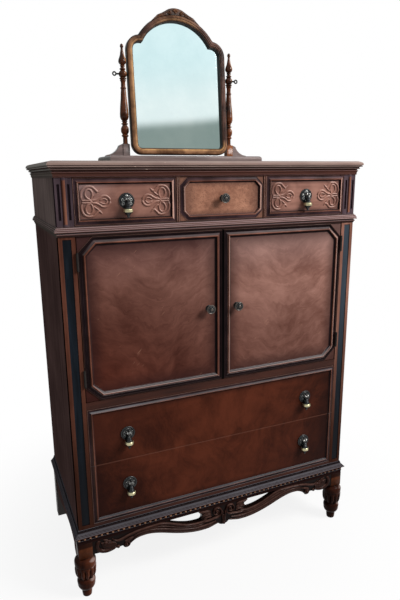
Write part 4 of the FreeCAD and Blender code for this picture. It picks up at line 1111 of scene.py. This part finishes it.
def apron_carving():
    """Reeds along the swags, two volutes with leaves over the pendant, and a leaf scroll at each end."""
    face = span("front_apron")[0].y
    reeds, scrolls, leaves = Carving(), Carving(), Carving()

    upper = smooth([
        (60, 149), (72, 146), (84, 144.6), (100, 145.4), (116, 147.6), (132, 151.4), (150, 158), (170, 166.4),
        (190, 175), (212, 181), (232, 181.2), (253, 180.8), (282, 179.2), (302, 176.4), (317, 172.6), (332, 168),
        (347, 165.6), (357, 169.4), (364, 177),
    ], 5)
    paired(ribbon, reeds, upper, face, 7.6, 6.2, (0.5, 0.4))
    count = 72
    for start, end, offset, width, rise in ((21, 311, 3.4, 6.0, 4.6), (24, 303, 12.2, 9.6, 6.2)):
        places = [start + (end - start) * step / count for step in range(count + 1)]
        edge = shifted([(x, apron_under(x)) for x in places], offset)
        paired(ribbon, reeds, edge, face, width, rise, (0.5, 0.3))
    start, end = 62, 300
    over, under = 4.5, 18.5
    inner = [(x, (z - over + apron_under(x) + under) / 2) for x, z in upper if start < x < end]
    paired(ribbon, reeds, inner, face, 6.4, 5.2, (0.3, 0.3))

    eye = (25.0, 167)
    volute = smooth([(76, 145), (60, 144.6), (44, 145.4), (31.6, 147.6)], 6) + spiral(eye, 290, -1.7, 20.6, 3.4, 56)
    paired(ribbon, scrolls, volute, face, 6.4, 7.6, (0.6, 0.8), 0.7)
    paired(dome, scrolls, [eye], face, 6.6, 6.6, 8.0)
    stem = smooth([(2.6, 122), (3.4, 136), (5.0, 150), (5.0, 166)])
    paired(ribbon, scrolls, stem, face, 6.0, 6.4, (0.6, 0.4))
    for width, rise, lobes, points in (
        (10.0, 6.4, 2, [(47, 174), (60, 177.5), (75, 178.5), (87, 182)]),
        (13.0, 6.8, 3, [(45, 164), (57, 166.5), (68, 166), (79, 160)]),
        (9.0, 6.0, 2, [(44, 156), (54, 157.5), (64, 155.5), (73, 151)]),
        (27.0, 7.4, 2, [(352, 158), (368, 156), (384, 160), (397, 173)]),
        (12.0, 5.8, 2, [(366, 168), (374, 170), (382, 175), (390, 182)]),
    ):
        paired(leaf, leaves, smooth(points), face, width, rise, lobes)
    paired(dome, leaves, [(51, 157.5)], face, 6.6, 6.6, 7.0)
    paired(dome, leaves, [(384, 171)], face, 15.0, 9.0, 8.2, 20)
    leaf(leaves, smooth([(0, 150), (0, 138), (0, 128), (0, 117)]), face, 15.0, 7.6, 2)
    dome(scrolls, [(0, 123)], face, 13.0, 14.0, 8.4)

    eye = (321, 145.8)
    curl = smooth([(300, 163), (309, 161.5), (318, 158.5), (324, 156.4)], 6) + spiral(eye, 74, 1.25, 10.8, 2.8, 32)
    paired(ribbon, scrolls, curl, face, 8.0, 7.4, (0.4, 0.7), 0.6)
    paired(dome, scrolls, [eye], face, 7.4, 7.4, 7.6)
    paired(dome, scrolls, [(347, 145)], face, 11.0, 10.0, 6.4)
    loop = smooth([(402, 181), (409, 168), (406, 154), (396, 146), (380, 142.6), (363, 145.6), (351, 152)])
    paired(ribbon, scrolls, loop, face, 12.6, 6.6, (0.5, 0.4))
    for name, carving in (("apron_reeds", reeds), ("apron_scrolls", scrolls), ("apron_leaves", leaves)):
        make(name, carving, "case", ["carved"])


# Front legs
def front_legs():
    """Turned legs: foot, ball, lobed bulb and smooth roll under a square block."""
    low, high = span("front_legs")
    inset = 32.0
    axis_x = high.x - inset
    axis_y = low.y + inset
    block_low, block_high = 135.5, 184.0
    lobes = 12
    lobe_low, lobe_high, lobe_depth = 64.7, 106.0, 6.4
    droop_top, droop_depth = 79.0, 5.0
    short_fade, long_fade = 2, 12
    profile = bowed(
        (11.4, 0), (13.6, 3.2, 0.9), (14.6, 11, 0.2), (14.6, 20.4, 0.3), (13.9, 22.0), (26.0, 45.5, 4.0),
        (22.0, 62.6, 2.6), (20.6, 64.2), (21.6, 65.2), (26.2, 66.8), (31.4, 91, 1.6), (30.4, 104.6, 0.8),
        (29.2, 105.6), (30.4, 106.8), (31.2, 113.5, 0.5), (21.4, 131.8, 4.2), (18.7, 132.8), (18.2, 134.0),
        (19.6, 135.5), count=9,
    )

    def lobed(radius, along, angle):
        if not lobe_low < along < lobe_high:
            return radius, along
        hollow = 1 - abs(math.cos(angle * lobes / 2)) ** 0.9
        depth = lobe_depth * min(1.0, (along - lobe_low) / short_fade) * min(1.0, (lobe_high - along) / long_fade)
        droop = droop_depth * max(0.0, min(1.0, (droop_top - along) / long_fade))
        return radius - depth * hollow, along + droop * hollow

    levels = ((1.4, block_low - 0.2), (0.0, block_low + 1.2), (0.0, block_high - 1.4), (0.9, block_high))
    carving = Carving()
    for side in (-1, 1):
        turning(carving, profile, upright(side * axis_x, axis_y, 0), count=160, shape=lobed)
        block(carving, side * axis_x, axis_y, half=20.5, cut=1.1, levels=levels)
    make("front_leg_turnings", carving, "case", ["leg"], ["front_legs"], CAST)


# Carved bows on the frieze drawers
def frieze_bows():
    """Ribbon bows at both ends of the two outer frieze drawers."""
    strokes = [
        ([(5, 4), (2.6, 15), (6, 28), (16, 36), (31, 36.6), (39, 30), (47, 24), (55, 31)], 6.4),
        ([(29, 4.5), (19, 8), (13.5, 18), (17, 28.5), (25, 30.5), (31, 24), (31.5, 14), (27, 5)], 5.6),
        ([(27, 2.6), (40, 4.2), (49, 8.6), (57, 13.4), (67, 13.2), (75, 7), (77, 0)], 6.0),
        ([(50, 1.8), (58, 5.8), (65, 5.6), (69.5, 0)], 4.0),
        ([(4, 2.6), (14, 3.0), (29, 3.0)], 4.4),
        ([(33, 12), (41, 17), (47, 22)], 4.4),
    ]
    for side in ("left", "right"):
        low, high = span(side + "_frieze_drawer_moulding")
        border = 16
        ends = (low.x + border, high.x - border)
        level = middle(side + "_frieze_drawer_moulding").z
        carving = Carving()
        for end, inward in zip(ends, (1, -1)):
            for points, width in strokes:
                for way in (1, -1):
                    path = smooth([(end + inward * u, level + way * v) for u, v in points], 7)
                    ribbon(carving, path, FIELD, width, 2.7, (0.45, 0.45))
            dome(carving, [(end + inward * 28, level)], FIELD, 7, 10, 2.4)
        make(side + "_frieze_bows", carving, side + "_frieze_drawer", ["frieze"])


def partition_reeds():
    """Pair of fine reeds down the front of each partition between the frieze drawers."""
    low, high = span("frieze_partitions")
    inner = span("middle_frieze_drawer_moulding")
    levels = (low.z + 1, (low.z + high.z) / 2, high.z - 1)
    carving = Carving()
    for side, near, far in (("left", 1, 0), ("right", 0, 1)):
        gap = (span(side + "_frieze_drawer_moulding")[near].x + inner[far].x) / 2
        for offset in (-2.6, 2.6):
            ribbon(carving, [(gap + offset, z) for z in levels], low.y, 1.8, 1.3, (1, 1))
    make("partition_reeds", carving, "case", ["frame_bead"])


# Metalwork
def knob(body):
    """Cast knob: rose, stem, head with a corded rim, a ring of petals and a round boss."""
    node = body + "_knob"
    low, high = span(node)
    reach = high.y - low.y
    profile = bowed(
        (9.5, 0), (9.5, 1.2), (8.6, 2.0, 0.3), (6.0, 2.6), (5.0, 4.0, -0.4), (4.8, 10), (6.4, 12.6, -0.6),
        (11.6, 15.0, -0.5), (12.9, 16.6, 0.5), (13.5, 18.2, 0.3), (13.0, 20.0, 0.5), (11.2, 20.6, 0.4), (10.2, 19.8),
        (9.6, 19.9), (7.2, 21.8, 0.8), (5.6, 20.9, 0.3), (4.6, 21.2), (3.6, 23.6, 0.8), (1.6, reach - 0.1, 0.4),
        (0.2, reach), count=4,
    )
    petal_pairs, petal_depth, petal_foot = 5, 0.7, 19.7
    cord_pairs, cord_depth, cord_radius = 14, 0.35, 12.4

    def petals(radius, along, angle):
        if along > petal_foot and 5.0 < radius < 10.0:
            return radius, along - petal_depth * (1 - abs(math.cos(angle * petal_pairs)))
        if radius > cord_radius:
            return radius - cord_depth * (1 - abs(math.cos(angle * cord_pairs))), along
        return radius, along

    # The rim and the boss are rubbed brighter
    tints = [int(along > 17.0 and not 4.4 <= radius <= 10.6) for radius, along in between(profile)]
    carving = Carving()
    axis = forward(middle(node).x, high.y, middle(node).z)
    turning(carving, profile, axis, count=56, shape=petals, tint=tints)
    make(node + "_cast", carving, body, ["bronze", "dulled"], [node], CAST)


def pull_plate(carving, x, back, z):
    """Scalloped back plate with a rolled rim, four C-scrolls and the two lugs that hold the pin."""
    profile = bowed(
        (20.2, 0), (20.8, 1.0, 0.2), (20.4, 2.6, 0.5), (18.6, 3.4, 0.5), (16.6, 2.6, 0.3), (15.4, 2.2),
        (12.0, 3.4, 0.4), (8.0, 4.2, 0.3), (0.3, 4.8), count=4,
    )
    rim, scallop_pairs, scallop_depth = 16.0, 9, 0.9

    def scalloped(radius, along, angle):
        if radius > rim:
            return radius - scallop_depth * (1 - abs(math.cos(angle * scallop_pairs))), along
        return radius, along

    turning(carving, profile, forward(x, back, z), count=72, shape=scalloped)
    carving.look = 1
    scroll_face = back - 2.6
    boss_face = back - 2.4
    for side in (-1, 1):
        for out, up, start, turns, radius in ((11.0, 3.4, 90, 1.1, 4.6), (9.6, -7.6, 60, -1.1, 4.8)):
            scroll = spiral((x + side * out, z + up), 90 + side * start, side * turns, radius, 1.4, 18)
            ribbon(carving, scroll, scroll_face, 2.4, 2.4, (0.6, 0.6))
    dome(carving, [(x, z + 13.4)], boss_face, 8.0, 6.4, 3.0)
    dome(carving, [(x, z - 14.4)], boss_face, 7.0, 6.0, 3.0)
    carving.look = 0
    pivot_y = back - 12.5
    pivot_z = z + 5.0
    lug_back = back - 1.5
    nose = [math.pi * step / 8 for step in range(9)]
    for side in (-1, 1):
        rows = []
        for out, radius in ((3.2, 3.0), (3.5, 3.4), (5.4, 3.4), (5.7, 3.0)):
            ring = [(pivot_y - radius * math.sin(angle), radius * math.cos(angle)) for angle in nose]
            ring = [(lug_back, radius)] + ring + [(lug_back, -radius)]
            rows.append([(x + side * out, y, pivot_z + up) for y, up in ring])
        carving.skin(rows)
    pin = [(1.0, -6.6), (1.4, -6.2), (1.4, 6.2), (1.0, 6.6)]
    turning(carving, pin, lambda a, b, along: (x + along, pivot_y + a, pivot_z + b), count=12)


def pull_drop(node):
    """Hanging drop: eye, ball, tiered bell, bright band and a tip that ends in a small ball."""
    low, high = span(node)
    centre = middle(node)
    eye = high.z - low.z - 3.6
    band_low, band_high = 15.4, 23.4
    profile = bowed(
        (0.3, 0), (3.0, 1.6, 0.6), (3.5, 3.6, 0.2), (3.0, 4.4), (4.4, 5.6), (8.0, 11.0, -0.3), (8.8, 12.6),
        (10.6, 13.0), (12.0, 15.0, 0.5), (12.2, 19.6, 0.35), (11.2, 22.6, 0.6), (9.6, 23.8, 0.3), (8.6, 24.2),
        (8.2, 25.0), (7.6, 28.6, 0.3), (5.8, 29.6), (6.8, 30.6), (6.6, 33.0, 0.4), (5.2, 34.0), (5.8, 34.8),
        (4.8, 37.6, 0.6), (2.6, 39.4), (2.4, 41.0), (2.2, eye - 3.2), count=5,
    )
    tints = [int(band_low <= along <= band_high) for _, along in between(profile)]
    carving = Carving()
    turning(carving, profile, upright(centre.x, centre.y, low.z), count=40, tint=tints)
    axis = lambda a, b, along: (centre.x + along, centre.y + a, low.z + eye + b)
    hoop(carving, axis, radius=2.5, thick=1.05, wide=2.6, sides=10)
    make(node + "_cast", carving, node, ["bronze", "brass"], [node], CAST)


def thumbscrew_ring(node, outer, inset):
    """Thick cast ring round the head of a thumbscrew, set in from its outer end."""
    centre = middle(node)
    x = span(node)[outer].x + inset
    axis = lambda a, b, along: (x + a, centre.y + along, centre.z + b)
    carving = Carving()
    hoop(carving, axis, radius=4.9, thick=2.1, wide=2.1, sides=12)
    make(node + "_ring", carving, node, ["iron"])


def metalwork():
    """Rings of the thumbscrews and all knobs, back plates and drops."""
    ring_inset = 5.6
    thumbscrew_ring("left_thumbscrew", 0, ring_inset)
    thumbscrew_ring("right_thumbscrew", 1, -ring_inset)
    for body in ("left_door", "right_door", "middle_frieze_drawer"):
        knob(body)
    plate_half = 21
    for place, plates, bright, drops in (
        ("left_frieze", "_pull_plate", "silvered", [""]),
        ("right_frieze", "_pull_plate", "silvered", [""]),
        ("upper_long", "_pull_plates", "bronze", ["_left", "_right"]),
        ("lower_long", "_pull_plates", "bronze", ["_left", "_right"]),
    ):
        node = place + plates
        low, high = span(node)
        centre = middle(node)
        spots = [low.x + plate_half, high.x - plate_half] if len(drops) > 1 else [centre.x]
        carving = Carving()
        for x in spots:
            pull_plate(carving, x, high.y, centre.z)
        make(node + "_cast", carving, place + "_drawer", ["bronze", bright], [node], CAST)
        for side in drops:
            pull_drop(place + side + "_pull_drop")


# Mirror posts
def mirror_posts():
    """Turned posts: neck, ball, vase, slim shaft, pivot ball and finial on a square block."""
    low = span("mirror_posts")[0].z
    axis_x = 180.5
    profile = bowed(
        (9.0, 37.6), (9.0, 39.6, 0.4), (7.4, 43.5, -0.8), (7.0, 57.0), (7.8, 59.0), (10.0, 60.6), (10.0, 64.4, 0.9),
        (8.2, 66.4), (8.6, 68.0), (12.4, 79.0, 1.3), (8.4, 91.6, 1.5), (7.2, 94.0), (7.4, 95.4), (9.8, 96.6),
        (9.8, 99.6, 0.8), (6.8, 101.4), (6.8, 103.0), (8.4, 104.2), (8.4, 106.4, 0.6), (7.2, 107.6),
        (11.8, 113.6, 0.8), (13.4, 123.0, 0.7), (13.0, 133.0, 0.3), (11.0, 158.0, 0.2), (8.4, 190.0, -0.5),
        (7.4, 199.6, -0.2), (8.4, 200.4), (8.4, 204.4, 0.5), (7.0, 205.6), (7.0, 221.0, -0.2), (8.6, 222.6),
        (8.6, 225.4, 0.6), (7.4, 226.6), (9.8, 228.0), (9.8, 231.4, 0.8), (7.2, 232.8), (11.6, 242.5, 1.6),
        (7.2, 252.2, 1.6), (6.2, 253.0), (8.3, 255.2), (8.3, 258.6, 0.8), (5.8, 260.8), (5.6, 263.0), (7.2, 264.4),
        (7.2, 266.6, 0.6), (5.8, 268.0), (7.6, 270.0), (11.9, 278.0, 1.0), (9.4, 288.0, 0.5), (5.4, 303.0, -0.7),
        (3.5, 315.6, -0.3), (3.9, 317.4), (5.0, 322.0, 0.7), (2.6, 327.0, 0.6), (0.2, 328.6), count=5,
    )
    levels = ((0.8, low), (0.0, low + 0.8), (0.0, low + 36.6), (1.0, low + 37.8))
    carving = Carving()
    for side in (-1, 1):
        turning(carving, profile, upright(side * axis_x, PIVOT_Y, low), count=36)
        # The left block takes the paler platform finish as a painted sheen
        block(carving, side * axis_x, PIVOT_Y, half=11.0, cut=0.8, levels=levels, tint=int(side < 0))
    make("mirror_post_turnings", carving, "case", ["post", "platform"], ["mirror_posts"])


# Mirror
LEAN = math.radians(-5.0)
MIRROR_FRONT = 97.5
REBATE = 111.5
MIRROR_HALF = 165.5
MIRROR_LOW = 1276.5
SHOULDER = 1632.0
SHOULDER_RADIUS = 45.0
CORNER_RADIUS = 33.0
ARCH_RADIUS = 148.0
ARCH_Z = 1552.0


def leaned(point):
    """Leans a point of the upright mirror back to where it rests."""
    x, y, z = point
    y -= PIVOT_Y
    z -= PIVOT_Z
    return (x, PIVOT_Y + y * math.cos(LEAN) - z * math.sin(LEAN), PIVOT_Z + y * math.sin(LEAN) + z * math.cos(LEAN))


def spaced(points, count):
    """The same run of points, set out again at even distances."""
    reach = [0.0]
    for here, there in zip(points, points[1:]):
        reach.append(reach[-1] + math.dist(here, there))
    result = []
    place = 0
    for step in range(count + 1):
        goal = reach[-1] * step / count
        while place < len(points) - 2 and reach[place + 1] < goal:
            place += 1
        gap = reach[place + 1] - reach[place]
        share = (goal - reach[place]) / gap if gap else 0.0
        result.append(tuple(a + (b - a) * share for a, b in zip(points[place], points[place + 1])))
    return result


def round_run(centre, radius, first, last, count=24):
    """Points of an arc between two angles in degrees."""
    angles = [math.radians(first + (last - first) * step / count) for step in range(count + 1)]
    return [(centre[0] + radius * math.cos(angle), centre[1] + radius * math.sin(angle)) for angle in angles]


def mirror_outline(inset):
    """Closed outline of the mirror drawn in by an inset, with the same number of points for every inset."""
    half = MIRROR_HALF - inset
    low = MIRROR_LOW + inset
    corner = max(CORNER_RADIUS - inset, 0.4)
    shoulder = SHOULDER - inset
    bend = SHOULDER_RADIUS - inset
    arch = ARCH_RADIUS - inset
    centre = (MIRROR_HALF - SHOULDER_RADIUS, SHOULDER - SHOULDER_RADIUS)
    rise = [point for point in round_run(centre, bend, 0, 90) if math.dist(point, (0, ARCH_Z)) > arch]
    if math.dist((centre[0], shoulder), (0, ARCH_Z)) > arch:
        rise.append((math.sqrt(arch ** 2 - (shoulder - ARCH_Z) ** 2), shoulder))
    start = math.degrees(math.atan2(rise[-1][1] - ARCH_Z, rise[-1][0]))
    runs = [
        ([(0, low), (half - corner, low)], 6),
        (round_run((half - corner, low + corner), corner, -90, 0), 10),
        ([(half, low + corner), (half, centre[1])], 10),
        (rise, 14),
        (round_run((0, ARCH_Z), arch, start, 90, 48), 36),
    ]
    right = [(0, low)]
    for points, count in runs:
        right += spaced(points, count)[1:]
    return right + [(-x, z) for x, z in reversed(right[1:-1])]


def mirror_rings(section):
    """Outlines of the mirror, one for each (inset, y) point of a section."""
    return [[(x, y, z) for x, z in mirror_outline(inset)] for inset, y in section]


def mirror_frame():
    """Moulded frame: back, slope, band and the dark reveal round the glass."""
    back = MIRROR_FRONT + 22
    steps = (
        (0, 22), (0, 7.0), (0.7, 6.2), (1.6, 6.0), (8.6, 0.3, 0.9), (10.4, 0, 0.05), (11.4, 0.7), (11.8, 1.6),
        (12.4, 1.4), (17.2, 3.6, 0.8), (17.8, 4.4), (19.3, 4.9, 0.3), (20, 5.8),
    )
    section = bowed(
        *((inset, MIRROR_FRONT + deep, *swell) for inset, deep, *swell in steps),
        (20, REBATE), (14, REBATE), (14, back), count=5,
    )
    tints = []
    for here, there in zip(section, section[1:] + section[:1]):
        inset = (here[0] + there[0]) / 2
        if max(here[1], there[1]) > MIRROR_FRONT + 6.1:
            # The reveal takes the near black finish: painted shade
            tints.append(3 if inset > 13 else 0)
        else:
            tints.append(1 if 2.6 < inset < 11.0 else 2 if 12.1 < inset < 17.4 else 0)
    rings = mirror_rings(section)
    carving = Carving(leaned)
    carving.skin(rings + rings[:1], capped=False, tint=tints)
    looks = ["mirror", "mirror_slope", "mirror_band", "mirror_reveal"]
    make("mirror_frame_moulded", carving, "mirror", looks, ["mirror_frame"], sharp=32.0)


def mirror_glass():
    """Looking-glass with a wide, very flat bevel."""
    carving = Carving(leaned)
    carving.skin(mirror_rings([(14.3, REBATE + 4.0), (14.3, REBATE + 0.32), (30.0, REBATE + 0.02)]))
    make("mirror_glass_bevelled", carving, "mirror", ["glass"], ["mirror_glass"], sharp=1.0)


def crest_carving():
    """Shell, two scrolls and two trailing leaves on the crest of the mirror."""
    face = PIVOT_Y - 5.0
    top = ARCH_Z + ARCH_RADIUS
    carving = Carving(leaned)
    shell_radius, shell_rise = 7.2, 7.0
    for turn in (28, 59, 90, 121, 152):
        angle = math.radians(turn)
        spot = (shell_radius * math.cos(angle), top + shell_rise + shell_radius * math.sin(angle))
        dome(carving, [spot], face, 9.4, 5.0, 3.4, turn)
    dome(carving, [(0, top + 6.4)], face, 6.4, 6.4, 4.2)
    eye = (19.5, top + 5.8)
    paired(ribbon, carving, spiral(eye, 200, 1.3, 6.4, 1.6, 26), face, 3.2, 3.2, (0.6, 0.5))
    paired(dome, carving, [eye], face, 3.6, 3.6, 3.6)
    stalk = smooth([(27, top + 6), (35, top + 1.0), (44, top - 1.4), (53, top - 4.6)])
    paired(ribbon, carving, stalk, face, 3.0, 3.0, (0.5, 0.5))
    trail = smooth([(29, top), (40, top - 3.2), (51, top - 7.4), (62, top - 11.8)])
    paired(leaf, carving, trail, face, 6.4, 3.0, 3)
    paired(dome, carving, [(54, top - 6.4)], face, 6.4, 5.6, 3.6)
    make("mirror_crest_carving", carving, "mirror", ["crest"])


frame_runs()
case_mouldings()
bead_course()
apron_carving()
front_legs()
frieze_bows()
partition_reeds()
metalwork()
mirror_posts()
mirror_frame()
mirror_glass()
crest_carving()


# Studio
def soft_lamp(name, place, aim, size, power, colour):
    """Square soft light, in metres and watts, that points at a spot."""
    lamp = bpy.data.lights.new(name, "AREA")
    lamp.shape = "SQUARE"
    lamp.size = size
    lamp.energy = power
    lamp.color = colour
    holder = bpy.data.objects.new(name, lamp)
    scene.collection.objects.link(holder)
    holder.location = place
    holder.rotation_mode = "QUATERNION"
    holder.rotation_quaternion = (Vector(aim) - Vector(place)).to_track_quat("-Z", "Y")
    return holder


def sight(finish):
    """1 for what the camera looks at straight on, and 1 for what shows in polished or clear surfaces."""
    path = finish.node("ShaderNodeLightPath").socket.node.outputs
    straight, glossy, through = (Tone(finish, path[f"Is {kind} Ray"]) for kind in ("Camera", "Glossy", "Transmission"))
    return straight, glossy.most(through)


def surroundings():
    """White to the camera, pale above and darker below for polished surfaces, and plain soft light for the rest."""
    world = bpy.data.worlds.new("studio")
    scene.world = world
    world.use_nodes = True
    finish = Finish(world.node_tree)
    ground = world.node_tree.nodes["Background"]
    straight, shown = sight(finish)
    up = finish.parts(finish.node("ShaderNodeTexCoord", output="Generated"))[2]
    upper = finish.mix(up.ease(0.27, 0.36), (0.97, 1.0, 1.0, 1), (0.8, 0.94, 0.97, 1))
    whole = finish.mix(up.ease(0.243, 0.263), (0.285, 0.33, 0.31, 1), upper)
    colour = finish.mix(shown, (0.22, 0.225, 0.235, 1), whole)
    colour = finish.mix(straight, colour, (1, 1, 1, 1))
    finish.feed(ground.inputs["Color"], colour)
    ground.inputs["Strength"].default_value = 1.0


def floor():
    """Pale floor that keeps the shadow and fades into the white ground."""
    mesh = bpy.data.meshes.new("floor")
    reach = 14.0
    corners = [(-reach, -reach, 0), (reach, -reach, 0), (reach, reach, 0), (-reach, reach, 0)]
    mesh.from_pydata(corners, [], [(0, 1, 2, 3)])
    surface = Surface("floor_paper")
    x, y, _ = surface.xyz()
    far = ((x * x + y * y) ** 0.5).ease(0.3, 1.1) * 0.14 + 0.86
    mottle = surface.cloud(3, 3.0)
    straight, shown = sight(surface)
    seen = straight.most(shown)
    pale = surface.mix(mottle, (246, 246, 246), (250, 250, 250))
    surface.colour = surface.mix(seen, (128, 128, 128), pale)
    surface.dress(0.9, specular=0.0)
    paper = Tone(surface, surface.shader.outputs[0])
    white = surface.node("ShaderNodeEmission", inputs={"Color": (1, 1, 1, 1), "Strength": 1.0})
    laid = surface.node("ShaderNodeMixShader", inputs={0: seen * far, 1: paper, 2: white})
    surface.feed(surface.tree.nodes["Material Output"].inputs["Surface"], laid)
    mesh.materials.append(surface.material)
    ground = bpy.data.objects.new("floor", mesh)
    scene.collection.objects.link(ground)


def camera():
    """Camera at the photograph's viewpoint, in metres and degrees."""
    place = (-0.65286, -1.54777, 1.21172)
    yaw, pitch, roll = (math.radians(angle) for angle in (23.5596, 13.4125, -0.54675))
    ahead = Vector((math.sin(yaw) * math.cos(pitch), math.cos(yaw) * math.cos(pitch), -math.sin(pitch)))
    level = Vector((math.cos(yaw), -math.sin(yaw), 0))
    above = level.cross(ahead)
    right = level * math.cos(roll) + above * math.sin(roll)
    up = above * math.cos(roll) - level * math.sin(roll)
    lens = bpy.data.cameras.new("camera")
    lens.sensor_width = 36.0
    lens.lens = 31.317
    holder = bpy.data.objects.new("camera", lens)
    scene.collection.objects.link(holder)
    turn = Matrix((right, up, -ahead)).transposed().to_4x4()
    holder.matrix_world = Matrix.Translation(place) @ turn
    scene.camera = holder


surroundings()
floor()
soft_lamp("key_light", place=(1.9, -1.8, 2.6), aim=(0, 0, 0.9), size=1.2, power=105, colour=(1.0, 0.98, 0.96))
fill = soft_lamp("fill_light", place=(-2.0, -2.9, 1.8), aim=(0, 0, 0.8), size=2.4, power=15, colour=(0.97, 0.98, 1.0))
fill.visible_glossy = False
camera()
scene.view_settings.view_transform = "Standard"
